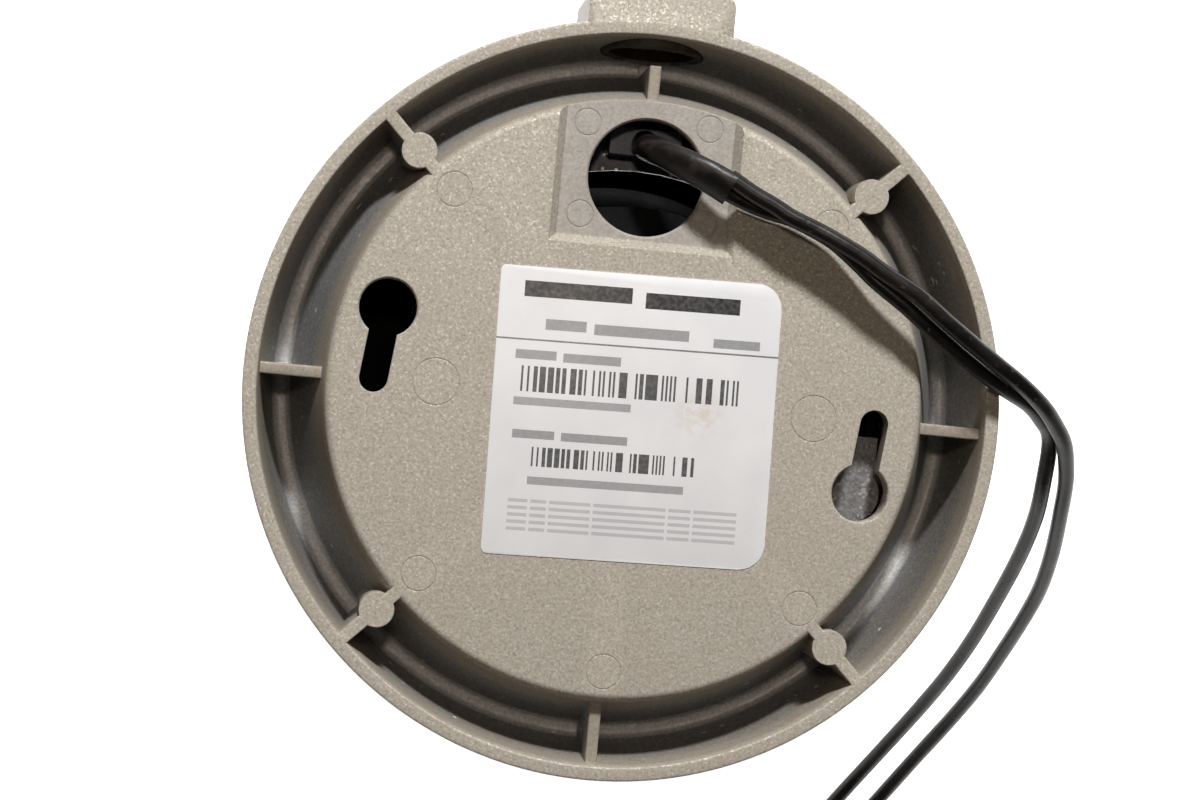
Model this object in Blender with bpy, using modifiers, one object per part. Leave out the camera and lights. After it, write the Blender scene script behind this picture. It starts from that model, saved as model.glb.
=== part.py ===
"""Dome CCTV camera of the vandal-resistant, ceiling-mounted kind.

The axis of the dome is Z. The origin is on that axis in the mounting face: +Z points out of the back,
towards the ceiling, and the clear dome points along -Z. +Y points to the side entry for conduit.
Sizes are in millimetres and become metres where each mesh is made.
"""

import math

import bmesh
import bpy
from mathutils import Matrix, Vector

MM = 0.001
GAP = 0.3  # clearance left between solids that touch
WELD = 1e-6  # metres, for vertices that coincide
TURN_STEPS = 40

# Back housing
RIM_RADIUS = 67.0
RIM_INNER_RADIUS = 64.5
PLATE_RADIUS = 52.7
PLATE_UNDERSIDE = -4.0
TROUGH_FLOOR = -22.0
FLANGE_UNDERSIDE = -26.0
SKIRT_BOTTOM = -30.0
FLUSH = -0.05  # tops of the webs and pillars, a hair under the mounting face
PILLAR_ANGLES = (45, 135, 225, 315)
PILLAR_CIRCLE = 56.8
PILLAR_RADIUS = 3.1
WEB_ANGLES = (0, 90, 180, 270)
WEB_TOP = -3.0
CABLE_HOLE_Y = 39.5
CABLE_HOLE_RADIUS = 10.3
POCKET_HALF_WIDTH = 16.3
POCKET_START = 27.0
POCKET_DEPTH = 1.8
KEYHOLE_ENTRY = (43.05, 12.45)
KEYHOLE_ENTRY_RADIUS = 5.05
KEYHOLE_SEAT = 44.45  # half of the 88.9 mm screw spacing of a four-inch ceiling box
KEYHOLE_SLOT_WIDTH = 5.0
BOSS_HALF_WIDTH = 12.9
BOSS_END = 72.5
ENTRY_RADIUS = 9.4
ENTRY_Z = -12.2
LABEL_CENTRE = (1.4, -2.9)
LABEL_SIZE = (50.0, 50.6)
LABEL_TURN = 1.2
LABEL_RECESS = 0.6

# Front cover and clear dome
COVER_COLUMN_RADIUS = 4.3
COVER_SCREW_SEAT = -40.5
DOME_CENTRE_Z = -52.0
DOME_OUTER = 46.0
DOME_INNER = 43.5
DOME_FLANGE_TOP = -43.2
DOME_FLANGE_BOTTOM = -45.7
CLAMP_CIRCLE = 55.3
CLAMP_ANGLES = (0, 90, 180, 270)
CLAMP_RING_INNER = 44.2
LINER_OUTER = 41.5
LINER_FLANGE = 51.2
LINER_INNER = 40.3
LINER_SLOT_HALF_WIDTH = 14.5
LINER_SLOT_TOP = -63.0

# Gimbal and camera
BRACKET_TOP = -8.3
BRACKET_BOTTOM = -9.8
BRACKET_CIRCLE = 40.0
BRACKET_ANGLES = (30, 150, 270)
HUB_BORE = 13.7
HUB_RADIUS = 16.7
TURNTABLE_RADIUS = 35.0
TURNTABLE_TOP = -10.1
TURNTABLE_BOTTOM = -12.6
PIVOT_BORE = 1.8
YOKE_INNER = 27.0
YOKE_OUTER = 30.0
BOARD_TOP = -18.0
BOARD_BOTTOM = -19.2
BOARD_SCREW_CIRCLE = 47.5
BOARD_SCREW_ANGLES = (62, 118)
BUTTON_PLACE = (-12.1, 45.6)
BOARD_HALF_SIDE = 17.0
STANDOFF_OFFSET = 13.0
BARREL_RADIUS = 12.0

# Leads: where they run, by hand-chosen points
LEAD_RADIUS = 1.5
SLEEVE_RADIUS = 2.6
SLEEVE_ROUTE = (
    (0.3, 46.3, -11.0),
    (0.2, 45.6, -7.0),
    (1.0, 44.7, -2.6),
    (3.9, 43.3, 0.7),
    (7.7, 41.5, 3.3),
    (12.0, 39.5, 4.4),
)
VIDEO_ROUTE = (
    (12.7, 38.4, 3.4),
    (17.8, 36.5, 3.1),
    (21.8, 35.4, 3.1),
    (25.4, 34.7, 3.2),
    (29.7, 33.1, 3.4),
    (33.6, 31.2, 3.8),
    (37.8, 28.0, 4.4),
    (41.4, 25.0, 4.9),
    (47.1, 21.1, 5.5),
    (51.6, 17.7, 5.5),
    (56.9, 14.0, 4.8),
    (62.7, 10.5, 3.5),
    (67.5, 8.2, 1.7),
    (72.1, 6.2, -0.8),
    (75.4, 3.9, -3.7),
    (78.6, 0.3, -7.7),
    (79.9, -8.4, -13.9),
    (80.9, -15.0, -20.8),
    (81.0, -23.0, -30.0),
    (80.2, -33.0, -42.0),
    (79.0, -41.5, -52.0),
    (77.0, -49.5, -61.0),
    (74.2, -57.5, -70.0),
    (70.0, -67.0, -79.5),
    (65.2, -76.5, -87.5),
    (59.5, -86.5, -93.8),
    (53.0, -95.0, -96.2),
    (44.5, -101.5, -96.4),
    (34.0, -105.3, -96.4),
    (23.0, -106.8, -96.2),
    (13.0, -106.8, -94.6),
    (4.0, -106.3, -91.6),
    (-2.0, -106.0, -90.8),
)
POWER_ROUTE = (
    (13.7, 40.5, 5.8),
    (18.3, 37.9, 6.1),
    (22.0, 36.2, 6.3),
    (25.1, 34.5, 6.6),
    (29.4, 32.9, 6.8),
    (33.3, 31.2, 7.2),
    (38.0, 28.9, 7.6),
    (42.1, 26.4, 7.9),
    (48.4, 23.1, 7.9),
    (53.2, 19.6, 7.7),
    (58.6, 16.0, 6.8),
    (64.3, 12.4, 5.7),
    (69.3, 9.4, 4.3),
    (73.9, 6.2, 2.0),
    (77.4, 3.1, -1.1),
    (80.7, -0.6, -5.1),
    (83.6, -6.7, -12.0),
    (85.3, -13.6, -19.4),
    (87.0, -21.0, -28.2),
    (88.0, -28.5, -37.5),
    (87.6, -35.5, -46.0),
    (86.5, -43.0, -55.0),
    (84.8, -51.0, -64.0),
    (81.8, -59.5, -73.0),
    (77.5, -69.0, -82.0),
    (72.6, -79.0, -90.0),
    (67.0, -88.5, -94.8),
    (60.5, -98.0, -96.3),
    (52.5, -106.5, -96.4),
    (43.0, -113.5, -96.4),
    (32.0, -118.8, -96.4),
    (21.0, -121.9, -96.2),
    (11.0, -123.1, -94.6),
    (0.0, -123.3, -92.7),
)
HARNESS_ROUTE = (
    (-13.0, 43.4, -15.7),
    (-13.0, 40.5, -15.0),
    (-12.8, 38.0, -11.5),
    (-12.0, 35.0, -7.2),
    (-9.5, 29.0, -5.5),
    (-5.0, 18.5, -5.5),
    (-1.6, 8.5, -5.6),
    (0.0, 3.0, -8.0),
    (0.0, 0.6, -13.0),
    (0.0, 0.0, -22.0),
)

PALETTE = {  # colour, roughness, metallic
    "housing_paint": ((0.46, 0.42, 0.35), 0.55, 0.2),
    "clear_polycarbonate": ((0.85, 0.88, 0.9), 0.05, 0.0),
    "black_rubber": ((0.02, 0.02, 0.02), 0.7, 0.0),
    "black_plastic": ((0.025, 0.025, 0.027), 0.45, 0.0),
    "plug_plastic": ((0.05, 0.035, 0.03), 0.6, 0.0),
    "label_film": ((0.85, 0.86, 0.88), 0.35, 0.0),
    "zinc_steel": ((0.45, 0.45, 0.47), 0.4, 0.9),
    "stainless": ((0.6, 0.6, 0.6), 0.3, 1.0),
    "circuit_board": ((0.012, 0.018, 0.032), 0.4, 0.0),
    "glass": ((0.3, 0.32, 0.4), 0.03, 0.0),
    "silicon": ((0.1, 0.08, 0.14), 0.2, 0.3),
    "nickel": ((0.65, 0.62, 0.55), 0.25, 1.0),
}


def remove_everything():
    for thing in list(bpy.data.objects):
        bpy.data.objects.remove(thing, do_unlink=True)


def new_collection(name):
    collection = bpy.data.collections.new(name)
    bpy.context.scene.collection.children.link(collection)
    return collection


def make_materials():
    made = {}
    for name, (colour, roughness, metallic) in PALETTE.items():
        material = bpy.data.materials.new(name)
        material.use_nodes = True
        shader = material.node_tree.nodes["Principled BSDF"]
        shader.inputs["Base Color"].default_value = (*colour, 1.0)
        shader.inputs["Roughness"].default_value = roughness
        shader.inputs["Metallic"].default_value = metallic
        made[name] = material
    return made


remove_everything()
PARTS = new_collection("dome_cctv_camera")
CUTTERS = new_collection("cutters")
MATERIALS = make_materials()


# Shapes. Each returns a new object in the parts collection, with its mesh in metres.


def add_object(name, data):
    thing = bpy.data.objects.new(name, data)
    PARTS.objects.link(thing)
    return thing


def from_bmesh(name, bm):
    mesh = bpy.data.meshes.new(name)
    bm.to_mesh(mesh)
    bm.free()
    return add_object(name, mesh)


def box(name, low, high):
    bm = bmesh.new()
    bmesh.ops.create_cube(bm, size=1.0)
    size = [(b - a) * MM for a, b in zip(low, high)]
    bmesh.ops.scale(bm, vec=size, verts=bm.verts)
    thing = from_bmesh(name, bm)
    thing.location = [(a + b) / 2 * MM for a, b in zip(low, high)]
    return thing


def rod(name, start, end, radius, sides=16):
    """A cylinder from one point to another."""
    start, end = Vector(start) * MM, Vector(end) * MM
    size = radius * MM
    length = (end - start).length
    bm = bmesh.new()
    bmesh.ops.create_cone(bm, cap_ends=True, segments=sides, radius1=size, radius2=size, depth=length)
    thing = from_bmesh(name, bm)
    thing.location = (start + end) / 2
    thing.rotation_euler = (end - start).to_track_quat("Z", "Y").to_euler()
    return thing


def upright(name, place, bottom, top, radius, sides=16):
    """A cylinder that stands over a point, from one height to another."""
    return rod(name, (place[0], place[1], bottom), (place[0], place[1], top), radius, sides)


def revolve(name, profile, closed=True, steps=TURN_STEPS):
    """Turns a profile of (radius, height) about Z. The profile runs down the shape's outer side."""
    points = [(r * MM, 0.0, z * MM) for r, z in profile]
    edges = [(i, i + 1) for i in range(len(points) - 1)]
    if closed:
        edges.append((len(points) - 1, 0))
    mesh = bpy.data.meshes.new(name)
    mesh.from_pydata(points, edges, [])
    thing = add_object(name, mesh)
    screw = thing.modifiers.new("turn", "SCREW")
    screw.steps = steps
    screw.render_steps = steps
    screw.use_merge_vertices = True
    screw.merge_threshold = WELD
    return thing


def arc(centre, radius, start, end, count):
    """Points of (x, y) on a circle, with the angles in degrees."""
    angles = [math.radians(start + (end - start) * i / (count - 1)) for i in range(count)]
    return [(centre[0] + radius * math.cos(a), centre[1] + radius * math.sin(a)) for a in angles]


def plate(name, outlines, bottom, top):
    """Flat outlines in XY, the inner ones holes, made a solid from one height to another."""
    curve = bpy.data.curves.new(name, "CURVE")
    curve.dimensions = "2D"
    curve.fill_mode = "BOTH"
    curve.extrude = (top - bottom) / 2 * MM
    for outline in outlines:
        spline = curve.splines.new("POLY")
        spline.points.add(len(outline) - 1)
        spline.use_cyclic_u = True
        for point, (x, y) in zip(spline.points, outline):
            point.co = (x * MM, y * MM, 0.0, 1.0)
    thing = curve_to_mesh(add_object(name, curve))
    thing.location.z = (bottom + top) / 2 * MM
    return thing


def curve_to_mesh(thing):
    name = thing.name
    evaluated = thing.evaluated_get(bpy.context.evaluated_depsgraph_get())
    mesh = bpy.data.meshes.new_from_object(evaluated)
    matrix = thing.matrix_world.copy()
    bpy.data.objects.remove(thing, do_unlink=True)
    bm = bmesh.new()
    bm.from_mesh(mesh)
    bmesh.ops.remove_doubles(bm, verts=bm.verts, dist=WELD)
    bmesh.ops.recalc_face_normals(bm, faces=bm.faces)
    bm.to_mesh(mesh)
    bm.free()
    solid = add_object(name, mesh)
    solid.matrix_world = matrix
    return solid


def slab(name, outline, thickness, across, up, centre):
    """A plate of an outline in the plane of two directions, centred on a point."""
    thing = plate(name, [outline], -thickness / 2, thickness / 2)
    across, up = Vector(across), Vector(up)
    turn = Matrix((across, up, across.cross(up))).transposed().to_4x4()
    thing.matrix_world = Matrix.Translation(Vector(centre) * MM) @ turn
    return thing


def circle(radius, count=24, centre=(0.0, 0.0)):
    return arc(centre, radius, 0.0, 360.0 * (count - 1) / count, count)


def rounded_rectangle(low, high, radii):
    """An outline whose corner radii are given from the lower left, counterclockwise."""
    corners = (
        ((low[0], low[1]), (1, 1), 180),
        ((high[0], low[1]), (-1, 1), 270),
        ((high[0], high[1]), (-1, -1), 0),
        ((low[0], high[1]), (1, -1), 90),
    )
    outline = []
    for ((x, y), (sx, sy), start), radius in zip(corners, radii):
        if radius:
            outline += arc((x + sx * radius, y + sy * radius), radius, start, start + 90, 5)
        else:
            outline.append((x, y))
    return outline


def capsule(start, end, radius, count=9):
    """An outline with round ends about two points."""
    along = math.degrees(math.atan2(end[1] - start[1], end[0] - start[0]))
    far_end = arc(end, radius, along - 90, along + 90, count)
    return far_end + arc(start, radius, along + 90, along + 270, count)


def eared_disc(radius, angles, reach, ear_radius):
    """A circle with round ears, each standing out to its centre's distance from the axis."""
    half = math.degrees(math.asin(ear_radius / radius))
    outline = []
    for i, angle in enumerate(angles):
        following = angles[(i + 1) % len(angles)] + (360 if i + 1 == len(angles) else 0)
        a = math.radians(angle)
        centre = (reach * math.cos(a), reach * math.sin(a))
        outline += arc(centre, ear_radius, angle - 90, angle + 90, 7)
        outline += arc((0.0, 0.0), radius, angle + half, following - half, 9)
    return outline


def smooth_route(route, spacing):
    """Points at an even spacing on the smooth curve through a route's points."""
    ends = [Vector(route[0]) * 2 - Vector(route[1]), Vector(route[-1]) * 2 - Vector(route[-2])]
    knots = [ends[0]] + [Vector(p) for p in route] + [ends[1]]
    fine = []
    for before, a, b, after in zip(knots, knots[1:], knots[2:], knots[3:]):
        for i in range(20):
            t = i / 20
            fine.append(
                0.5
                * (
                    2 * a
                    + (b - before) * t
                    + (2 * before - 5 * a + 4 * b - after) * t * t
                    + (3 * a - before - 3 * b + after) * t**3
                )
            )
    fine.append(knots[-2])
    lengths = [0.0]
    for a, b in zip(fine, fine[1:]):
        lengths.append(lengths[-1] + (b - a).length)
    count = max(4, round(lengths[-1] / spacing))
    points = []
    at = 0
    for i in range(count + 1):
        wanted = lengths[-1] * i / count
        while at < len(fine) - 2 and lengths[at + 1] < wanted:
            at += 1
        share = (wanted - lengths[at]) / (lengths[at + 1] - lengths[at])
        points.append(fine[at].lerp(fine[at + 1], share))
    return points


def tube(name, route, radius, spacing):
    curve = bpy.data.curves.new(name, "CURVE")
    curve.dimensions = "3D"
    curve.bevel_depth = radius * MM
    curve.bevel_resolution = 2
    curve.use_fill_caps = True
    points = smooth_route(route, spacing)
    spline = curve.splines.new("POLY")
    spline.points.add(len(points) - 1)
    for point, place in zip(spline.points, points):
        point.co = (*(place * MM), 1.0)
    return add_object(name, curve)


def polar(radius, angle, z=0.0):
    a = math.radians(angle)
    return (radius * math.cos(a), radius * math.sin(a), z)


def boolean(target, tool, operation):
    step = target.modifiers.new(tool.name, "BOOLEAN")
    step.operation = operation
    step.solver = "EXACT"
    step.object = tool
    PARTS.objects.unlink(tool)
    CUTTERS.objects.link(tool)
    tool.hide_render = True
    tool.display_type = "WIRE"


def cut(target, *tools):
    for tool in tools:
        boolean(target, tool, "DIFFERENCE")


def join(target, *tools):
    for tool in tools:
        boolean(target, tool, "UNION")


def finish(thing, material, parent=None):
    """Gives a part its material, its round shading and its parent."""
    thing.data.materials.clear()
    thing.data.materials.append(MATERIALS[material])
    if thing.type == "MESH" and thing.data.polygons:
        thing.data.shade_smooth()
        thing.data.set_sharp_from_angle(angle=math.radians(35))
    if parent:
        thing.parent = parent
        thing.matrix_parent_inverse = parent.matrix_world.inverted()
    return thing


def joint(name, place, parent=None):
    """An empty on a joint's axis, which carries the pieces that move."""
    empty = add_object(name, None)
    empty.location = Vector(place) * MM
    if parent:
        empty.parent = parent
        empty.location = Vector(place) * MM - parent.matrix_world.translation
    bpy.context.view_layer.update()
    return empty


# Back housing and what is fixed to its outside


def housing_body():
    """Turned section: flush centre plate, deep trough, rim, flange with its seal groove, and skirt."""
    return revolve(
        "base_housing",
        [
            (0.0, 0.0),
            (51.4, 0.0),
            (52.3, -0.4),
            (PLATE_RADIUS, -1.3),
            (59.4, -21.4),
            (59.9, TROUGH_FLOOR),
            (62.2, TROUGH_FLOOR),
            (RIM_INNER_RADIUS, 0.0),
            (66.7, 0.0),
            (RIM_RADIUS, -0.3),
            (RIM_RADIUS, SKIRT_BOTTOM),
            (64.3, SKIRT_BOTTOM),
            (64.3, FLANGE_UNDERSIDE),
            (63.0, FLANGE_UNDERSIDE),
            (63.0, -24.0),
            (60.4, -24.0),
            (60.4, FLANGE_UNDERSIDE),
            (57.2, FLANGE_UNDERSIDE),
            (56.3, TROUGH_FLOOR),
            (49.5, PLATE_UNDERSIDE),
            (0.0, PLATE_UNDERSIDE),
        ],
        closed=False,
        steps=48,
    )


def trough_web(name, angle, inner_top, outer, thickness, top):
    """A web across the trough, whose inner edge follows the sloped wall."""
    outline = [(inner_top, top), (58.2, -23.5), (outer, -23.5), (outer, top)]
    return slab(name, outline, thickness, polar(1.0, angle), (0.0, 0.0, 1.0), (0.0, 0.0, 0.0))


def add_webs_and_pillars(body):
    for i, angle in enumerate(PILLAR_ANGLES, 1):
        place = polar(PILLAR_CIRCLE, angle)
        web = trough_web(f"pillar_web_{i}", angle, 50.9, 65.6, 2.3, FLUSH)
        join(body, web, upright(f"pillar_{i}", place, -25.8, FLUSH, PILLAR_RADIUS))
        cut(body, upright(f"cover_screw_bore_{i}", place, -28, -8, 1.8, 8))
    for i, angle in enumerate(WEB_ANGLES, 1):
        join(body, trough_web(f"web_{i}", angle, 51.6, 65.6, 2.1, WEB_TOP))


def add_conduit_entry(body):
    outline = rounded_rectangle((-BOSS_HALF_WIDTH, 64.9), (BOSS_HALF_WIDTH, BOSS_END), (0, 0, 2.0, 2.0))
    join(body, plate("conduit_boss", [outline], FLANGE_UNDERSIDE, FLUSH))
    cut(body, rod("conduit_bore", (0, 59.5, ENTRY_Z), (0, 75.0, ENTRY_Z), ENTRY_RADIUS, 28))


def add_inner_bosses(body):
    for i, angle in enumerate(BRACKET_ANGLES, 1):
        place = polar(BRACKET_CIRCLE, angle)
        join(body, upright(f"bracket_boss_{i}", place, -8, -2.5, 3.5, 12))
        cut(body, upright(f"bracket_bore_{i}", place, -9, -2, 1.5, 8))
    for i, angle in enumerate(BOARD_SCREW_ANGLES, 1):
        place = polar(BOARD_SCREW_CIRCLE, angle)
        join(body, upright(f"board_boss_{i}", place, -17.7, -3, 2.5, 10))
        cut(body, upright(f"board_bore_{i}", place, -19, -9, 1.2, 8))


def cut_pocket_and_holes(body):
    cut(
        body,
        box("pocket", (-POCKET_HALF_WIDTH, POCKET_START, -POCKET_DEPTH), (POCKET_HALF_WIDTH, 56.0, 3.0)),
        upright("cable_hole", (0, CABLE_HOLE_Y), -7, 3, CABLE_HOLE_RADIUS, 32),
    )
    for side, name in ((-1, "left"), (1, "right")):
        entry = (side * KEYHOLE_ENTRY[0], -side * KEYHOLE_ENTRY[1])
        seat = (side * KEYHOLE_SEAT, 0.0)
        cut(
            body,
            upright(f"keyhole_entry_{name}", entry, -7, 3, KEYHOLE_ENTRY_RADIUS, 24),
            plate(f"keyhole_slot_{name}", [capsule(entry, seat, KEYHOLE_SLOT_WIDTH / 2)], -7, 3),
        )


def label_outline(margin):
    half = [side / 2 + margin for side in LABEL_SIZE]
    flat = rounded_rectangle((-half[0], -half[1]), half, (1.0, 4.5, 4.5, 1.0))
    turn = math.radians(LABEL_TURN)
    return [
        (
            LABEL_CENTRE[0] + x * math.cos(turn) - y * math.sin(turn),
            LABEL_CENTRE[1] + x * math.sin(turn) + y * math.cos(turn),
        )
        for x, y in flat
    ]


def base_housing():
    body = housing_body()
    add_webs_and_pillars(body)
    add_conduit_entry(body)
    add_inner_bosses(body)
    cut_pocket_and_holes(body)
    cut(body, plate("label_recess", [label_outline(GAP)], -LABEL_RECESS, 2.0))
    return finish(body, "housing_paint")


def rating_label():
    return finish(plate("rating_label", [label_outline(0.0)], GAP - LABEL_RECESS, -0.05), "label_film")


def along_y(thing, y, z):
    """Turns a shape made about Z so that its top faces +Y, on the side entry's axis."""
    turn = Matrix.Rotation(math.radians(-90), 4, "X")
    thing.matrix_world = Matrix.Translation((0.0, y * MM, z * MM)) @ turn
    return thing


def conduit_plug():
    """Closes the side entry: a hollow-ended body in the bore and a low flange outside it."""
    plug = revolve(
        "conduit_plug",
        [
            (0.0, 3.1),
            (11.2, 3.1),
            (11.6, 2.7),
            (11.6, 1.5),
            (ENTRY_RADIUS - GAP, 1.5),
            (ENTRY_RADIUS - GAP, -10.0),
            (7.6, -10.0),
            (7.6, -8.4),
            (0.0, -8.4),
        ],
        closed=False,
        steps=24,
    )
    finish(along_y(plug, BOSS_END, ENTRY_Z), "plug_plastic")
    cut(plug, box("driver_slot", (-7.0, BOSS_END + 2.0, ENTRY_Z - 0.9), (7.0, BOSS_END + 4.0, ENTRY_Z + 0.9)))
    return plug


def plug_seal_ring():
    ring = revolve("plug_seal_ring", [(9.4, 1.2), (11.2, 1.2), (11.2, 0.3), (9.4, 0.3)], steps=24)
    return finish(along_y(ring, BOSS_END, ENTRY_Z), "black_rubber")


# Front cover, clear dome and their fixings


def dome_cover():
    cover = revolve(
        "dome_cover",
        [
            (59.6, -26.3),
            (64.0, -26.3),
            (64.0, -30.3),
            (66.7, -30.3),
            (RIM_RADIUS, -30.6),
            (RIM_RADIUS, -36.0),
            *[(51.0 + x, -34.2 + y) for x, y in arc((0, 0), 16.0, -14, -76, 5)],
            (48.0, -50.5),
            (46.6, -49.8),
            (46.6, -47.3),
            (52.6, -47.3),
            (55.6, -46.2),
            (59.4, -43.2),
            (62.2, -39.0),
            (63.4, -35.0),
            (63.4, -33.0),
            (59.6, -30.8),
        ],
        steps=40,
    )
    for i, angle in enumerate(PILLAR_ANGLES, 1):
        place = polar(PILLAR_CIRCLE, angle)
        join(cover, upright(f"cover_column_{i}", place, -45.7, -26.35, COVER_COLUMN_RADIUS, 14))
        cut(
            cover,
            upright(f"cover_counterbore_{i}", place, -60.0, COVER_SCREW_SEAT, 3.7, 16),
            upright(f"cover_bore_{i}", place, -42.0, -25.0, 1.8, 8),
        )
    for i, angle in enumerate(CLAMP_ANGLES, 1):
        place = polar(CLAMP_CIRCLE, angle)
        join(cover, upright(f"clamp_boss_{i}", place, -47.4, DOME_FLANGE_TOP, 3.0, 10))
        cut(cover, upright(f"clamp_bore_{i}", place, -46.5, -42.0, 1.2, 8))
    return finish(cover, "housing_paint")


def cover_o_ring():
    section = arc((61.7, -25.15), 0.8, 180, -120, 6)
    return finish(revolve("cover_o_ring", section), "black_rubber")


def dome_bubble():
    inner = [(x, DOME_CENTRE_Z + y) for x, y in arc((0, 0), DOME_INNER, -90, 0, 7)]
    outer = [(x, DOME_CENTRE_Z + y) for x, y in arc((0, 0), DOME_OUTER, 0, -90, 7)]
    inner[0] = (0.0, inner[0][1])
    outer[-1] = (0.0, outer[-1][1])
    flange = [
        (DOME_INNER, DOME_FLANGE_TOP),
        (51.8, DOME_FLANGE_TOP),
        (51.8, DOME_FLANGE_BOTTOM),
        (DOME_OUTER, DOME_FLANGE_BOTTOM),
    ]
    bubble = revolve("dome_bubble", inner + flange + outer, closed=False, steps=36)
    return finish(bubble, "clear_polycarbonate")


def bubble_gasket():
    section = [(47.5, -46.0), (51.5, -46.0), (51.5, -47.0), (47.5, -47.0)]
    return finish(revolve("bubble_gasket", section), "black_rubber")


def bubble_clamp_ring():
    outline = eared_disc(51.9, CLAMP_ANGLES, CLAMP_CIRCLE, 3.3)
    holes = [circle(1.4, 10, polar(CLAMP_CIRCLE, angle)[:2]) for angle in CLAMP_ANGLES]
    ring = plate("bubble_clamp_ring", [outline, circle(CLAMP_RING_INNER, 40), *holes], -42.9, -40.9)
    return finish(ring, "zinc_steel")


def screw(name, head_radius, head_height, shaft_radius, length):
    """A screw about Z with the underside of its head at the origin and its tip up at its length."""
    dome = head_radius * 0.75
    return revolve(
        name,
        [
            (0.0, length),
            (shaft_radius * 0.6, length),
            (shaft_radius, length - shaft_radius * 0.5),
            (shaft_radius, 0.0),
            (head_radius, 0.0),
            (head_radius, -head_height * 0.5),
            (dome, -head_height),
            (0.0, -head_height),
        ],
        closed=False,
        steps=10,
    )


def screws_on_circle(name, angles, radius, seat, sizes, turn=0.0):
    """One screw for each angle, its head's seat at the given height. sizes are what screw() takes."""
    for i, angle in enumerate(angles, 1):
        piece = screw(f"{name}_{i}", *sizes)
        piece.location = Vector(polar(radius, angle, seat)) * MM
        piece.rotation_euler = (turn, 0.0, 0.0)
        finish(piece, "stainless")


def fasteners():
    cover_seat = COVER_SCREW_SEAT - GAP
    screws_on_circle("cover_screw", PILLAR_ANGLES, PILLAR_CIRCLE, cover_seat, (3.4, 3.0, 1.5, 30.0))
    screws_on_circle("clamp_screw", CLAMP_ANGLES, CLAMP_CIRCLE, -40.6, (2.3, 1.7, 0.9, 5.4), math.pi)
    bracket_seat = BRACKET_BOTTOM - GAP
    screws_on_circle("bracket_screw", BRACKET_ANGLES, BRACKET_CIRCLE, bracket_seat, (3.0, 1.9, 1.2, 7.2))
    board_seat = BOARD_BOTTOM - GAP
    screws_on_circle("board_screw", BOARD_SCREW_ANGLES, BOARD_SCREW_CIRCLE, board_seat, (2.1, 1.5, 0.9, 9.0))


# Gimbal bracket and electronics fixed in the housing


def shutter_outlines():
    """The bracket's tab behind the right keyhole: a disc, a neck and the arm that carries them."""
    return {
        "tab_disc": circle(4.95, 24, (43.3, -12.9)),
        "tab_neck": [(41.4, -13.0), (46.8, -13.0), (47.1, -2.4), (41.7, -2.4)],
        "tab_arm": [(30.0, -10.0), (33.0, -14.6), (42.0, -17.4), (44.5, -16.0), (41.0, -12.0)],
    }


def pan_bracket():
    outline = [(x, min(y, 26.5)) for x, y in eared_disc(36.0, BRACKET_ANGLES, BRACKET_CIRCLE, 4.2)]
    holes = [circle(1.9, 12, polar(BRACKET_CIRCLE, angle)[:2]) for angle in BRACKET_ANGLES]
    outlines = [outline, circle(HUB_RADIUS + GAP, 28), *holes]
    bracket = plate("pan_bracket", outlines, BRACKET_BOTTOM, BRACKET_TOP)
    for name, shape in shutter_outlines().items():
        join(bracket, plate(name, [shape], BRACKET_BOTTOM, BRACKET_TOP))
    return finish(bracket, "zinc_steel")


def connection_board():
    """A crescent board under the cable hole."""
    outline = arc((0, 0), 52.6, 55, 125, 15) + arc((0, 0), 42.0, 125, 55, 13)
    holes = [circle(1.3, 10, polar(BOARD_SCREW_CIRCLE, angle)[:2]) for angle in BOARD_SCREW_ANGLES]
    return finish(plate("connection_board", [outline, *holes], BOARD_BOTTOM, BOARD_TOP), "circuit_board")


def board_parts():
    finish(box("loom_header", (-6.0, 44.2, BOARD_TOP + GAP), (7.0, 49.2, -11.7)), "black_plastic")
    finish(box("harness_header", (-17.5, 43.7, BOARD_TOP + GAP), (-8.5, 47.6, -13.7)), "label_film")
    at = polar(BOARD_SCREW_CIRCLE, 78)
    can = [(0, 0), (3.7, 0), (4.0, -0.4), (4.0, -1.4), (3.8, -1.7), (4.0, -2.0), (4.0, -9.6), (3.6, -10.0)]
    capacitor = revolve("capacitor", [*can, (0, -10.0)], closed=False, steps=12)
    capacitor.location = (at[0] * MM, at[1] * MM, (BOARD_BOTTOM - GAP) * MM)
    finish(capacitor, "nickel")
    x, y = BUTTON_PLACE
    housing = box("button_housing", (x - 3, y - 3, -22.7), (x + 3, y + 3, BOARD_BOTTOM - GAP))
    cut(housing, upright("button_well", BUTTON_PLACE, -24.0, -20.3, 2.0, 14))
    finish(housing, "black_plastic")


def osd_button():
    pivot = joint("osd_press_axis", (*BUTTON_PLACE, -22.7))
    button = upright("osd_button", BUTTON_PLACE, -24.2, -20.9, 1.7, 14)
    finish(button, "plug_plastic", pivot)


# Gimbal: pan, tilt and roll


def sideways(name, start, end, radius, sides):
    """A cylinder along the tilt axis."""
    return rod(name, (start, 0, DOME_CENTRE_Z), (end, 0, DOME_CENTRE_Z), radius, sides)


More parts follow.
